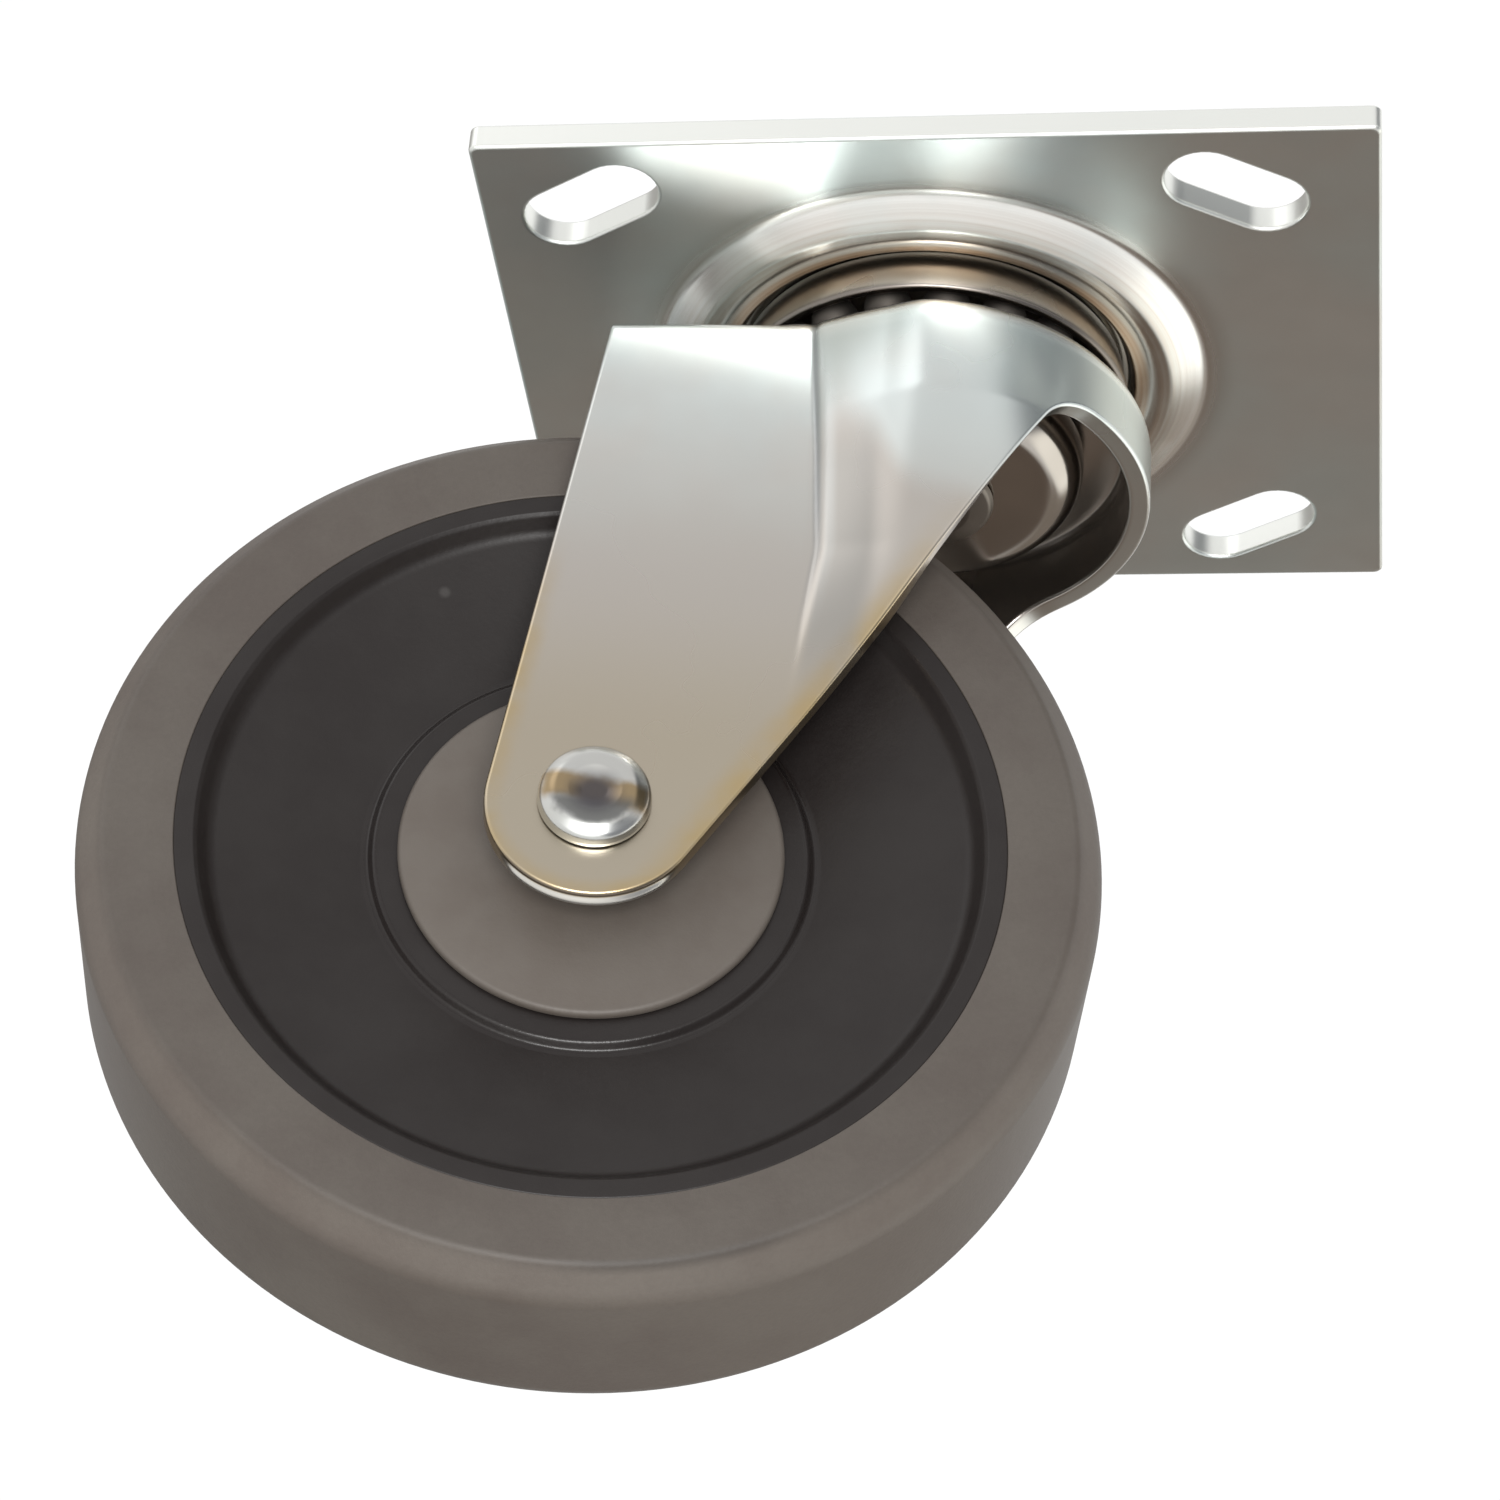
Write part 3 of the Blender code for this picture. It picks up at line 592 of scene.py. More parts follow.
def make_fork():
    """One pressed piece: round crown, web over the wheel and two tapering legs."""
    grid = fork_half()
    row_count, column_count = grid.shape[:2]
    verts = []
    faces = []
    for side in (1, -1):
        base = len(verts)
        for x, h, depth in grid.reshape(-1, 3):
            verts.append((x, -side * h, UNDERSIDE - depth))
        for row in range(row_count - 1):
            for column in range(column_count - 1):
                a = base + row * column_count + column
                b = a + column_count
                quad = [a, a + 1, b + 1, b]
                faces.append(quad if side > 0 else quad[::-1])
    verts, faces = thickened(verts, faces, SHEET, SHEET_EDGE)
    fork = add_piece("pressed_fork", verts, faces, FORK_FRAME)
    finish_mesh(fork, weld=1e-7, sharp=50)
    outline = [
        (0.0, DRILL_REACH),
        (AXLE_BORE, DRILL_REACH),
        (AXLE_BORE, -DRILL_REACH),
        (0.0, -DRILL_REACH),
    ]
    drill = lathe("fork_drill", outline, 64)
    drill.matrix_world = WHEEL_FRAME
    cut = fork.modifiers.new("axle hole", "BOOLEAN")
    cut.object = drill
    cut.operation = "DIFFERENCE"
    cut.solver = "EXACT"
    bpy.context.view_layer.update()
    depsgraph = bpy.context.evaluated_depsgraph_get()
    mesh = bpy.data.meshes.new_from_object(fork.evaluated_get(depsgraph))
    fork.modifiers.clear()
    fork.data = mesh
    bpy.data.objects.remove(drill, do_unlink=True)
    places = np.array([vertex.co for vertex in mesh.vertices])
    past = places[:, 0] - crease_place(UNDERSIDE - places[:, 2])
    past[np.abs(places[:, 1]) < LEG_FACE - SHEET_EDGE] = 1.0
    mesh.attributes.new(PAST_CREASE, "FLOAT", "POINT").data.foreach_set("value", past)
    return even_normals(fork)


# ---------------------------------------------------------------- turned pieces

def mirrored(half):
    """A symmetric closed section from its upper half."""
    return half + [(r, -z, *rest) for r, z, *rest in reversed(half)]


def make_tread():
    """Solid tyre with round shoulders and a fine moulding line."""
    half = [
        (0.0512, 0.0148),
        (0.0513, 0.0155, 0.0002),
        (0.0545, 0.0157, 0.004),
        (0.0600, 0.0157, 0.0014),
        (0.0635, 0.0118, 0.0040),
    ]
    profile = filleted(mirrored(half), closed=True, count=10)
    return lathe("grey_rubber_tread", profile, WHEEL_STEPS, True, WHEEL_FRAME)


def make_core():
    """Moulded core with a raised lip, a dished web and a boss."""
    half = [
        (0.0100, 0.0099, 0.0002),
        (0.0270, 0.0099, 0.0007),
        (0.0277, 0.0090, 0.0006),
        (0.0286, 0.0090, 0.0008),
        (0.0470, 0.0130, 0.0024),
        (0.0484, 0.0150, 0.0014),
        (0.0489, 0.0154, 0.0004),
        (0.0513, 0.0154, 0.0003),
        (0.0514, 0.0150),
    ]
    profile = filleted(mirrored(half), closed=True, count=6)
    return lathe("black_wheel_core", profile, WHEEL_STEPS, True, WHEEL_FRAME)


def make_guard(name, side):
    """Slightly domed thread guard at one side of the hub."""
    profile = filleted([
        (0.0073, 0.0125, 0.0003),
        (0.0144, 0.0119, 0.03),
        (0.0240, 0.0113, 0.0008),
        (0.0240, 0.0102, 0.0002),
        (0.0073, 0.0102, 0.0002),
    ], closed=True, count=6)
    place = WHEEL_FRAME @ Matrix.Rotation(0.0 if side > 0 else math.pi, 4, "X")
    return lathe(name, profile, ROUND_STEPS, True, place)


def make_axle():
    """Riveted axle with a spun, dimpled head at each end."""
    seat = LEG_FACE + 0.0003
    head = filleted([
        (0.0, seat + 0.0022),
        (0.0014, seat + 0.0022, 0.0020),
        (0.0034, seat + 0.0028, 0.0020),
        (0.0050, seat + 0.0029, 0.0026),
        (0.0068, seat + 0.0017, 0.0014),
        (0.0070, seat + 0.0006, 0.0006),
        (0.0070, seat, 0.0001),
        (AXLE_RADIUS, seat),
    ])
    profile = head + [(r, -z) for r, z in reversed(head)]
    return lathe("riveted_axle", profile, ROUND_STEPS, False, WHEEL_FRAME)


def make_kingpin():
    """Kingpin rivet with its sunk head and its upset tail."""
    tail = UNDERSIDE - KINGPIN_TAIL
    profile = filleted([
        (0.0, -0.0003),
        (0.0118, -0.0003, 0.0006),
        (0.0122, -0.0025, 0.0002),
        (KINGPIN_RADIUS, -0.0025),
        (KINGPIN_RADIUS, tail),
        (0.00935, tail, 0.0003),
        (0.0088, tail - 0.0012, 0.0009),
        (0.0060, tail - 0.0018, 0.0020),
        (0.0, tail - 0.0018),
    ])
    return lathe("kingpin_rivet", profile)


def make_upper_race():
    """Pressed ring that the upper balls run in."""
    top = UNDERSIDE
    profile = filleted([
        (0.0175, top - 0.0003, 0.0002),
        (0.0259, top - 0.0003, 0.0008),
        (0.0273, top - 0.0075, 0.0005),
        (0.0259, top - 0.0075, 0.0003),
        (0.0256, top - 0.0045, 0.0006),
        (0.0246, top - 0.0031, 0.0010),
        (0.0175, top - 0.0031, 0.0003),
    ], closed=True, count=5)
    return lathe("upper_ball_race", profile, ROUND_STEPS, True)


def make_lower_race():
    """Cup that holds the lower balls, with a round shoulder and a flat end."""
    top = UNDERSIDE
    profile = filleted([
        (0.01928, top - 0.0140, 0.0003),
        (0.0210, top - 0.0140, 0.0004),
        (0.0210, top - 0.0216, 0.0056),
        (KINGPIN_BORE, top - 0.0216, 0.0004),
        (KINGPIN_BORE, top - 0.0200, 0.0002),
        (0.0193, top - 0.0200, 0.0036),
    ], closed=True, count=9)
    return lathe("lower_race_cup", profile, ROUND_STEPS, True)


def make_ball(name, centre, radius, mesh):
    """One ball, sharing one mesh with all the others."""
    ball = bpy.data.objects.new(name, mesh)
    bpy.context.scene.collection.objects.link(ball)
    ball.matrix_world = Matrix.Translation(centre) @ Matrix.Scale(radius, 4)
    return ball


# ---------------------------------------------------------------- materials

class Shader:
    """A node material with short calls for the nodes these finishes use."""

    def __init__(self, name, own_place=True):
        self.material = bpy.data.materials.new(name)
        self.material.use_nodes = True
        self.nodes = self.material.node_tree.nodes
        self.links = self.material.node_tree.links
        self.surface = self.nodes["Principled BSDF"]
        if own_place:
            node = self.nodes.new("ShaderNodeAttribute")
            node.attribute_name = OWN_PLACE
            self.place = node.outputs["Vector"]
        else:
            self.place = self.nodes.new("ShaderNodeTexCoord").outputs["Object"]

    def feed(self, socket, value):
        """Link an output to a socket, or set its value."""
        if isinstance(value, bpy.types.NodeSocket):
            self.links.new(value, socket)
        elif isinstance(value, tuple) and socket.type == "RGBA":
            socket.default_value = (*value, 1.0)
        else:
            socket.default_value = value

    def set(self, **inputs):
        """Set inputs of the surface by name, with _ for a space."""
        for name, value in inputs.items():
            self.feed(self.surface.inputs[name.replace("_", " ")], value)

    def noise(self, scale, detail=3.0, roughness=0.5, place=None):
        """Noise from 0 to 1 about 0.5."""
        node = self.nodes.new("ShaderNodeTexNoise")
        self.feed(node.inputs["Vector"], self.place if place is None else place)
        self.feed(node.inputs["Scale"], scale)
        self.feed(node.inputs["Detail"], detail)
        self.feed(node.inputs["Roughness"], roughness)
        return node.outputs["Fac"]

    def math(self, operation, a, b=0.0, c=0.0):
        """Number maths."""
        node = self.nodes.new("ShaderNodeMath")
        node.operation = operation
        for socket, value in zip(node.inputs, (a, b, c)):
            self.feed(socket, value)
        return node.outputs[0]

    def band(self, value, low, high, to_low=0.0, to_high=1.0):
        """Ease a value from one range to another."""
        node = self.nodes.new("ShaderNodeMapRange")
        node.interpolation_type = "SMOOTHSTEP"
        for socket, number in zip(node.inputs, (value, low, high, to_low, to_high)):
            self.feed(socket, number)
        return node.outputs["Result"]

    def mix(self, share, a, b, blend="MIX"):
        """Mix two colours."""
        node = self.nodes.new("ShaderNodeMix")
        node.data_type = "RGBA"
        node.blend_type = blend
        self.feed(node.inputs["Factor"], share)
        self.feed(node.inputs[6], a)
        self.feed(node.inputs[7], b)
        return node.outputs[2]

    def parts(self):
        """X, Y and Z of the surface's own place."""
        node = self.nodes.new("ShaderNodeSeparateXYZ")
        self.feed(node.inputs[0], self.place)
        return node.outputs

    def join(self, x, y, z):
        """A vector from three numbers."""
        node = self.nodes.new("ShaderNodeCombineXYZ")
        for socket, value in zip(node.inputs, (x, y, z)):
            self.feed(socket, value)
        return node.outputs[0]

    def attribute(self, name):
        """A number stored on the points of a mesh."""
        node = self.nodes.new("ShaderNodeAttribute")
        node.attribute_name = name
        return node.outputs["Fac"]

    def length(self, x, y):
        """Distance in a plane."""
        squares = self.math("ADD", self.math("MULTIPLY", x, x), self.math("MULTIPLY", y, y))
        return self.math("SQRT", squares)

    def times(self, *factors):
        """Product of several numbers."""
        product = factors[0]
        for factor in factors[1:]:
            product = self.math("MULTIPLY", product, factor)
        return product

    def between(self, value, a, b, c, d):
        """1 from b to c, easing to 0 at a and d."""
        return self.times(self.band(value, a, b), self.band(value, d, c))

    def bump(self, height, distance, under=None):
        """A bump, on top of another one if given."""
        node = self.nodes.new("ShaderNodeBump")
        self.feed(node.inputs["Height"], height)
        self.feed(node.inputs["Distance"], distance)
        self.feed(node.inputs["Strength"], 1.0)
        if under is not None:
            self.feed(node.inputs["Normal"], under)
        return node.outputs["Normal"]


def zinc(name, cool, warm, balance=0.5, rough=0.3, turned=False, tint=None, own_place=True):
    """Zinc-plated steel: cool and warm clouds, fine mottle and, on turned pieces, fine rings."""
    s = Shader(name, own_place)
    clouds = s.noise(28.0, 3.0, 0.55)
    mottle = s.noise(150.0, 2.0, 0.4)
    share = s.band(clouds, balance - 0.16, balance + 0.16)
    colour = s.mix(share, cool, warm)
    shade = s.math("MULTIPLY_ADD", mottle, 0.08, 0.96)
    colour = s.mix(1.0, colour, s.join(shade, shade, shade), "MULTIPLY")
    roughness = s.math("MULTIPLY_ADD", clouds, 0.12, rough - 0.06)
    normal = None
    if turned:
        x, y, _ = s.parts()
        rings = s.noise(1.0, 2.0, 0.5, s.join(s.math("MULTIPLY", s.length(x, y), 1400.0), 0.0, 0.0))
        normal = s.bump(rings, 0.000008)
    if tint is not None:
        colour, roughness, normal = tint(s, colour, roughness, normal)
    s.set(Base_Color=colour, Metallic=1.0, Roughness=roughness)
    if normal is not None:
        s.set(Normal=normal)
    return s.material


def bead_tint_and_painted_sheen(s, colour, roughness, normal):
    """Bronze and grey rings round the plate's bead, partly the plating's own tint and partly
    painted reflection.
    """
    x, y, z = s.parts()
    radius = s.length(x, y)
    inside = s.between(radius, 0.0262, 0.0280, 0.0365, 0.0400)
    rings = s.noise(1.0, 3.0, 0.6, s.join(s.math("MULTIPLY", radius, 620.0), 0.0, 0.0))
    spots = s.noise(70.0, 3.0, 0.6)
    bronze = s.mix(s.band(rings, 0.35, 0.65), (0.46, 0.385, 0.32), (0.68, 0.70, 0.68))
    # The pale rings on the bead's outer slope are painted reflection; the gold ring at its inner
    # foot is partly tint and partly painted reflection.
    pale = s.mix(s.band(rings, 0.35, 0.65), (0.70, 0.66, 0.62), (0.86, 0.85, 0.83))
    gold = s.mix(s.band(rings, 0.35, 0.65), (0.62, 0.46, 0.33), (0.78, 0.70, 0.60))
    bronze = s.mix(s.band(radius, 0.0330, 0.0346), bronze, pale)
    bronze = s.mix(s.between(radius, 0.0262, 0.0268, 0.0288, 0.0300), bronze, gold)
    colour = s.mix(s.times(inside, s.band(spots, 0.25, 0.6, 0.6, 1.0)), colour, bronze)
    roughness = s.math("ADD", roughness, s.band(radius, 0.0365, 0.0420, 0.0, 0.12))
    # Painted highlight: the plate's outer walls and slot walls are painted light.
    walls = s.times(s.between(z, UNDERSIDE, -0.0034, -0.0006, 0.0), s.band(radius, 0.0430, 0.0440))
    colour = s.mix(walls, colour, (0.90, 0.91, 0.87))
    return colour, roughness, normal


def gilded_leg_and_painted_light(s, colour, roughness, normal):
    """Cool zinc, darker and warmer down the leg, with straw-coloured edges and painted light and
    shade on the crown, the crease and the sheared edge.
    """
    x, y, z = s.parts()
    foot_x = s.math("ADD", x, TRAIL)
    foot_z = s.math("ADD", z, AXLE_DEPTH - UNDERSIDE)
    aside = s.math("ABSOLUTE", y)
    crown = s.length(x, y)
    outside = s.band(crown, CROWN_RADIUS - 0.0028, CROWN_RADIUS - 0.0018)
    # Painted highlight along the crown's top outer edge.
    colour = s.mix(s.times(s.band(z, -0.0195, -0.0155), outside), colour, (0.93, 0.96, 0.94))
    # Painted shade on the inside of the crown's wall.
    inner_wall = CROWN_RADIUS - SHEET
    inner = s.times(s.band(crown, inner_wall + 0.0010, inner_wall), s.band(x, -0.017, -0.012))
    colour = s.mix(s.times(inner, 0.85), colour, (0.50, 0.45, 0.41))
    colour = s.mix(s.band(z, -0.026, -0.060), colour, (0.53, 0.495, 0.455))
    colour = s.mix(s.band(z, -0.055, -0.085), colour, (0.475, 0.42, 0.335))

    ring = s.times(s.band(s.length(foot_x, foot_z), 0.0108, 0.0134), s.band(foot_z, 0.004, -0.004))
    lean = math.hypot(1.0, NOSE_SLOPE)
    nose = edge_distance(s, foot_x, foot_z, NOSE_SLOPE / lean, -1 / lean)
    nose = s.times(s.band(nose, 0.0090, 0.0132), s.band(z, -0.040, -0.070))
    rear = rear_bearing(LEG_END_RADIUS, REAR_TOP)
    rear = edge_distance(s, foot_x, foot_z, math.cos(rear), math.sin(rear))
    rear = s.times(s.band(rear, 0.0104, 0.0134), s.band(z, -0.050, -0.075))
    share = s.math("MAXIMUM", s.math("MAXIMUM", ring, nose), rear)
    patch = s.noise(110.0, 3.0, 0.6)
    share = s.times(share, s.band(patch, 0.25, 0.65, 0.3, 1.0))
    colour = s.mix(share, colour, (0.50, 0.385, 0.215))

    # Painted shade along the crease and a painted highlight just past it, both fading out down the
    # leg, and painted shade past the crease low down.
    past = s.attribute(PAST_CREASE)
    fade = s.band(z, -0.070, -0.040)
    dark = s.times(s.between(past, -0.0006, 0.0001, 0.0003, 0.0010), fade, 0.62)
    colour = s.mix(dark, colour, (0.20, 0.215, 0.23))
    light = s.times(s.between(past, 0.0008, 0.0015, 0.0017, 0.0030), fade, 0.2)
    low_down = s.between(z, -0.078, -0.062, -0.040, -0.030)
    shade = s.times(s.between(past, 0.0005, 0.0020, 0.0060, 0.0090), low_down, 0.62)
    colour = s.mix(shade, colour, (0.36, 0.35, 0.33))
    colour = s.mix(light, colour, (0.80, 0.84, 0.84))

    # Round the foot: the sheared edge is painted light, with a painted dark line along its outer
    # rounding.
    foot = s.band(foot_z, -0.0070, -0.0105)
    painted_edge_shade = s.times(s.between(aside, 0.0211, 0.0214, 0.0218, 0.02195), foot)
    colour = s.mix(painted_edge_shade, colour, (0.22, 0.18, 0.14))
    bare_edge_painted_light = s.times(s.between(aside, 0.0186, 0.0189, 0.0210, 0.0213), foot)
    colour = s.mix(bare_edge_painted_light, colour, (0.68, 0.66, 0.62))
    slant = s.times(s.band(aside, 0.0218, 0.0194), foot)
    return colour, roughness, s.bump(slant, 0.0012, under=normal)


def edge_distance(s, foot_x, foot_z, lean_x, lean_z):
    """How far a point of the leg lies from the axle, square to one of its edges."""
    return s.math("ADD", s.math("MULTIPLY", foot_x, lean_x), s.math("MULTIPLY", foot_z, lean_z))


def painted_shade_tail(s, colour, roughness, normal):
    """Painted shade on the kingpin's lower end, which is also made a little rougher."""
    z = s.parts()[2]
    below = s.band(z, -0.012, -0.020)
    colour = s.mix(below, colour, (0.19, 0.17, 0.15))
    return colour, s.math("MULTIPLY_ADD", below, 0.1, roughness), normal


def painted_shade_race_ends(s, colour, roughness, normal):
    """Painted shade at the ends of the upper race, where it goes into the bead and stands over the
    crown.
    """
    z = s.parts()[2]
    colour = s.mix(s.times(s.band(z, -0.0076, -0.0058), 0.8), colour, (0.16, 0.13, 0.10))
    colour = s.mix(s.times(s.band(z, -0.0104, -0.0113), 0.8), colour, (0.15, 0.13, 0.12))
    return colour, roughness, normal


def spun_head_painted_reflections(s, colour, roughness, normal):
    """Rivet head with painted reflections: a painted dark middle and a dark patch below it, and
    painted straw-coloured sides, leaving the top and bottom bright.
    """
    x, y, _ = s.parts()
    radius = s.length(x, y)
    blur = s.math("MULTIPLY_ADD", s.noise(420.0, 3.0, 0.6), 0.0016, -0.0008)
    radius = s.math("ADD", radius, blur)
    tilted = s.math("ADD", y, s.math("MULTIPLY_ADD", x, 0.12, s.math("MULTIPLY", blur, 0.8)))
    side = s.between(tilted, -0.0030, -0.0014, 0.0008, 0.0022)
    side = s.times(side, s.band(radius, 0.0076, 0.0060))
    colour = s.mix(side, colour, (0.36, 0.27, 0.16))
    below = s.times(s.band(radius, 0.0060, 0.0046), s.band(y, -0.0004, -0.0024), 0.85)
    colour = s.mix(below, colour, (0.15, 0.15, 0.145))
    lower = s.length(x, s.math("ADD", y, 0.0006))
    colour = s.mix(s.times(s.band(lower, 0.0044, 0.0012), 0.9), colour, (0.09, 0.085, 0.095))
    return colour, roughness, normal


def make_materials():
    """Every finish by name."""
    cool = (0.68, 0.73, 0.72)
    warm = (0.66, 0.65, 0.62)
    race = ((0.53, 0.49, 0.445), (0.47, 0.42, 0.36))
    # The cup's zinc is a darker copy: painted shade inside the crown.
    cup = ((0.50, 0.465, 0.43), (0.38, 0.35, 0.32))
    rivet = ((0.62, 0.63, 0.62), (0.56, 0.54, 0.50))
    # The balls' steel is painted dark: painted shade in the gap between the races.
    grease = ((0.13, 0.115, 0.105), (0.10, 0.09, 0.08))
    made = {
        "plate": zinc("zinc_plate", cool, warm, 0.5, 0.24, turned=True, tint=bead_tint_and_painted_sheen),
        "fork": zinc("zinc_fork", cool, warm, 0.52, 0.28, tint=gilded_leg_and_painted_light),
        "race": zinc("zinc_race", *race, 0.5, 0.28, turned=True, tint=painted_shade_race_ends),
        "cup": zinc("zinc_cup", *cup, 0.5, 0.15, turned=True),
        "rivet": zinc("zinc_rivet", *rivet, 0.50, 0.24, tint=spun_head_painted_reflections),
        "kingpin": zinc("zinc_kingpin", cool, warm, 0.50, 0.30, tint=painted_shade_tail),
        "ball": zinc("greased_ball_steel", *grease, 0.5, 0.62),
        "bushing": zinc("ground_bushing_steel", cool, warm, 0.5, 0.20, own_place=False),
    }

    s = Shader("grey_rubber")
    cloud = s.noise(45.0, 4.0, 0.6)
    speck = s.noise(1500.0, 3.0, 0.7)
    colour = s.mix(s.band(cloud, 0.3, 0.7), (0.092, 0.075, 0.064), (0.112, 0.096, 0.082))
    shade = s.math("MULTIPLY_ADD", speck, 0.24, 0.88)
    x, y, z = s.parts()
    # Painted light and shade: the sidewall is painted darker and the running face lighter.
    shade = s.times(shade, s.band(s.length(x, y), 0.0596, 0.0612, 0.86, 1.18))
    colour = s.mix(1.0, colour, s.join(shade, shade, shade), "MULTIPLY")
    edge = s.between(s.length(x, y), 0.0594, 0.0600, 0.0602, 0.0612)
    mark = s.times(edge, s.band(y, -0.046, -0.056))
    mark = s.times(mark, s.between(x, -0.004, 0.008, 0.022, 0.034), s.band(z, 0.010, 0.0125), 0.5)
    colour = s.mix(mark, colour, (0.035, 0.028, 0.024))
    normal = s.bump(speck, 0.00004)
    normal = s.bump(s.noise(160.0, 3.0, 0.5), 0.00006, under=normal)
    s.set(Base_Color=colour, Roughness=s.math("MULTIPLY_ADD", cloud, 0.16, 0.44), Normal=normal)
    made["rubber"] = s.material

    s = Shader("black_moulded_plastic")
    cloud = s.noise(60.0, 4.0, 0.6)
    speck = s.noise(1300.0, 3.0, 0.7)
    colour = s.mix(s.band(cloud, 0.3, 0.7), (0.014, 0.0105, 0.0098), (0.019, 0.0155, 0.0145))
    normal = s.bump(speck, 0.00003)
    x, y, _ = s.parts()
    dot = s.length(s.math("ADD", x, 0.0219), s.math("SUBTRACT", y, 0.0362))
    colour = s.mix(s.band(dot, 0.0010, 0.0003), colour, (0.045, 0.041, 0.039))
    boss_edge = s.between(s.length(x, y), 0.0262, 0.0267, 0.0280, 0.0285)
    roughness = s.math("MULTIPLY_ADD", speck, 0.14, s.math("MULTIPLY_ADD", boss_edge, -0.16, 0.34))
    s.set(Base_Color=colour, Roughness=roughness, Specular_IOR_Level=0.35, Normal=normal)
    made["core"] = s.material

    s = Shader("grey_moulded_plastic")
    cloud = s.noise(80.0, 4.0, 0.6)
    speck = s.noise(1500.0, 3.0, 0.7)
    colour = s.mix(s.band(cloud, 0.3, 0.7), (0.108, 0.090, 0.076), (0.124, 0.107, 0.092))
    normal = s.bump(speck, 0.00003)
    s.set(Base_Color=colour, Roughness=s.math("MULTIPLY_ADD", speck, 0.14, 0.42), Normal=normal)
    made["guard"] = s.material

    s = Shader("acetal", own_place=False)
    cloud = s.noise(90.0, 4.0, 0.6)
    colour = s.mix(cloud, (0.70, 0.69, 0.64), (0.80, 0.79, 0.75))
    s.set(Base_Color=colour, Roughness=0.4, Normal=s.bump(cloud, 0.00003))
    made["acetal"] = s.material
    return made


# ---------------------------------------------------------------- assembly

def settle(piece):
    """Move a piece's points to the shared frame, and keep where they were for its finish."""
    mesh = piece.data
    places = np.empty(len(mesh.vertices) * 3, dtype=np.float32)
    mesh.vertices.foreach_get("co", places)
    mesh.attributes.new(OWN_PLACE, "FLOAT_VECTOR", "POINT").data.foreach_set("vector", places)
    mesh.transform(piece.matrix_world)
    piece.matrix_world = Matrix.Identity(4)


def place_piece(piece, material, body, slot, *nodes):
    """Give a piece its finish, its body and the CAD nodes that it stands for."""
    if not piece.data.materials:
        piece.data.materials.append(material)
    if OWN_PLACE not in piece.data.attributes:
        settle(piece)
    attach(piece, body)
    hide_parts(*nodes)


def build_object():
    """Make every piece and hang it on its body."""
    made = make_materials()
    place_piece(make_plate(), made["plate"], "mount", "zinc_steel", "top_plate")
    place_piece(make_kingpin(), made["kingpin"], "mount", "zinc_steel", "kingpin")
    place_piece(make_upper_race(), made["race"], "mount", "zinc_steel", "upper_race")
    place_piece(make_lower_race(), made["cup"], "mount", "zinc_steel", "lower_race")
    place_piece(make_fork(), made["fork"], "fork", "zinc_steel", "fork_yoke")
    place_piece(make_axle(), made["rivet"], "fork", "zinc_steel", "axle")
    place_piece(make_tread(), made["rubber"], "wheel", "grey_rubber", "tread")
    place_piece(make_core(), made["core"], "wheel", "black_plastic", "wheel_core")
    for name, side in (("near", 1), ("far", -1)):
        guard = make_guard(f"{name}_thread_guard", side)
        place_piece(guard, made["guard"], "wheel", "grey_plastic", f"thread_guard_{name}")

    sphere = bpy.data.meshes.new("ball")
    shape = bmesh.new()
    bmesh.ops.create_uvsphere(shape, u_segments=32, v_segments=20, radius=1.0)
    shape.to_mesh(sphere)
    shape.free()
    sphere.shade_smooth()
    places = [axis * BALL_PATTERN for vertex in sphere.vertices for axis in vertex.co]
    sphere.attributes.new(OWN_PLACE, "FLOAT_VECTOR", "POINT").data.foreach_set("vector", places)
    for node in BALL_NODES:
        low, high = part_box(node)
        ball = make_ball(f"steel_{node}", (low + high) / 2, (high.z - low.z) / 2, sphere)
        place_piece(ball, made["ball"], frame["nodes"][node]["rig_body"], "bearing_steel", node)

    for node, finish in (("axle_bushing", "bushing"), ("hub_bearing", "acetal")):
        for material_slot in frame["nodes"][node].material_slots:
            material_slot.material = made[finish]


# ---------------------------------------------------------------- studio

def make_world():
    """White surroundings with brighter, dimmer and brown lobes laid over them by direction."""
    world = bpy.data.worlds.new("studio")
    bpy.context.scene.world = world
    world.use_nodes = True
    nodes = world.node_tree.nodes
    links = world.node_tree.links
    toward = nodes.new("ShaderNodeTexCoord").outputs["Generated"]

    def lobe(axis, low, high):
        """1 where a direction points along an axis, easing to 0 away from it."""
        dot = nodes.new("ShaderNodeVectorMath")
        dot.operation = "DOT_PRODUCT"
        links.new(toward, dot.inputs[0])
        dot.inputs[1].default_value = Vector(axis).normalized()
        ease = nodes.new("ShaderNodeMapRange")
        ease.interpolation_type = "SMOOTHSTEP"
        links.new(dot.outputs["Value"], ease.inputs["Value"])
        ease.inputs["From Min"].default_value = low
        ease.inputs["From Max"].default_value = high
        return ease.outputs["Result"]

    def layer(under, share, colour):
        """Lay a colour over what is below it."""
        mix = nodes.new("ShaderNodeMix")
        mix.data_type = "RGBA"
        links.new(share, mix.inputs["Factor"])
        if isinstance(under, tuple):
            mix.inputs[6].default_value = (*under, 1.0)
        else:
            links.new(under, mix.inputs[6])
        mix.inputs[7].default_value = (*colour, 1.0)
        return mix.outputs[2]

    sky = SURROUNDINGS
    for axis, low, high, colour in WORLD_LOBES:
        sky = layer(sky, lobe(axis, low, high), colour)
    links.new(sky, nodes["Background"].inputs["Color"])


def area_light(name, place, target, size, power):
    """A soft box that faces a point."""
    data = bpy.data.lights.new(name, "AREA")
    data.shape = "RECTANGLE"
    data.size, data.size_y = size
    data.energy = power
    light = bpy.data.objects.new(name, data)
    bpy.context.scene.collection.objects.link(light)
    light.location = place
    light.rotation_euler = (Vector(target) - Vector(place)).to_track_quat("-Z", "Y").to_euler()
    light.visible_camera = False


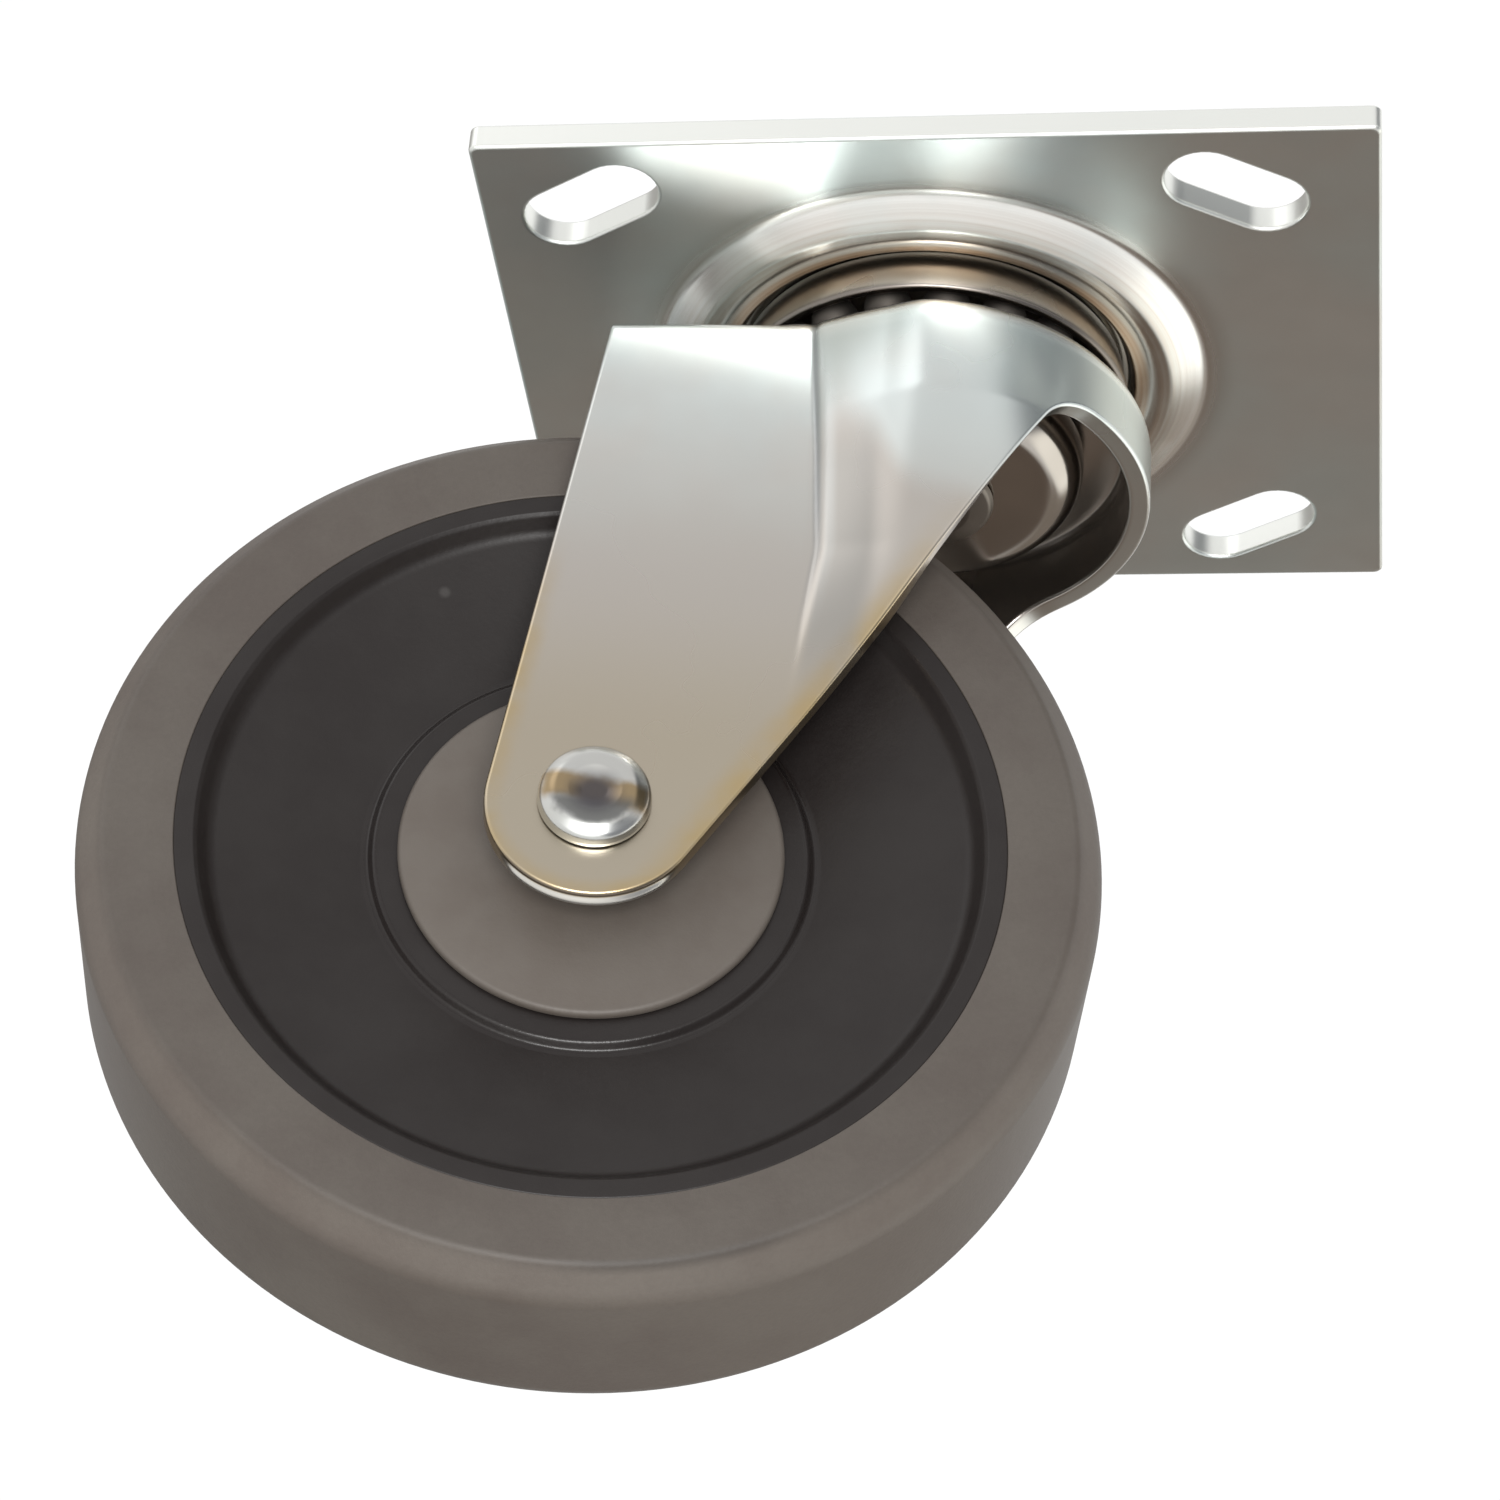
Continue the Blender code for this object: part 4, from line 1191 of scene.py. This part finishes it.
def make_floor():
    """A plain pale floor far enough below for a camera that looks up."""
    mesh = bpy.data.meshes.new("floor")
    half = FLOOR_HALF
    corners = [(-half, -half, 0), (half, -half, 0), (half, half, 0), (-half, half, 0)]
    mesh.from_pydata(corners, [], [[0, 1, 2, 3]])
    floor = bpy.data.objects.new("floor", mesh)
    bpy.context.scene.collection.objects.link(floor)
    floor.location = (0.0, 0.0, FLOOR_HEIGHT)
    floor.visible_glossy = False
    s = Shader("floor", own_place=False)
    cloud = s.noise(3.0, 3.0, 0.5)
    s.set(Base_Color=s.mix(cloud, (0.70, 0.69, 0.67), (0.74, 0.73, 0.71)), Roughness=0.8)
    mesh.materials.append(s.material)


def make_camera():
    """Look up at the wheel from below its near side."""
    away = Vector((
        math.sin(CAMERA_AZIMUTH) * math.cos(CAMERA_ELEVATION),
        -math.cos(CAMERA_AZIMUTH) * math.cos(CAMERA_ELEVATION),
        math.sin(CAMERA_ELEVATION),
    ))
    level = Vector((math.cos(CAMERA_AZIMUTH), math.sin(CAMERA_AZIMUTH), 0.0))
    upright = away.cross(level)
    right = level * math.cos(CAMERA_ROLL) + upright * math.sin(CAMERA_ROLL)
    up = upright * math.cos(CAMERA_ROLL) - level * math.sin(CAMERA_ROLL)
    place = Vector(CAMERA_TARGET) + away * CAMERA_DISTANCE
    data = bpy.data.cameras.new("camera")
    data.sensor_width = 36.0
    data.lens = CAMERA_LENS
    data.clip_start = 0.01
    camera = bpy.data.objects.new("camera", data)
    bpy.context.scene.collection.objects.link(camera)
    camera.matrix_world = Matrix((
        (right.x, up.x, away.x, place.x),
        (right.y, up.y, away.y, place.y),
        (right.z, up.z, away.z, place.z),
        (0.0, 0.0, 0.0, 1.0),
    ))
    bpy.context.scene.camera = camera


def make_studio():
    """World, floor, lights and camera."""
    make_world()
    make_floor()
    make_camera()
    area_light("front_softbox", LIGHT_PLACE, LIGHT_TARGET, LIGHT_SIZE, LIGHT_POWER)
    bpy.context.scene.view_settings.view_transform = "Standard"


build_object()
make_studio()
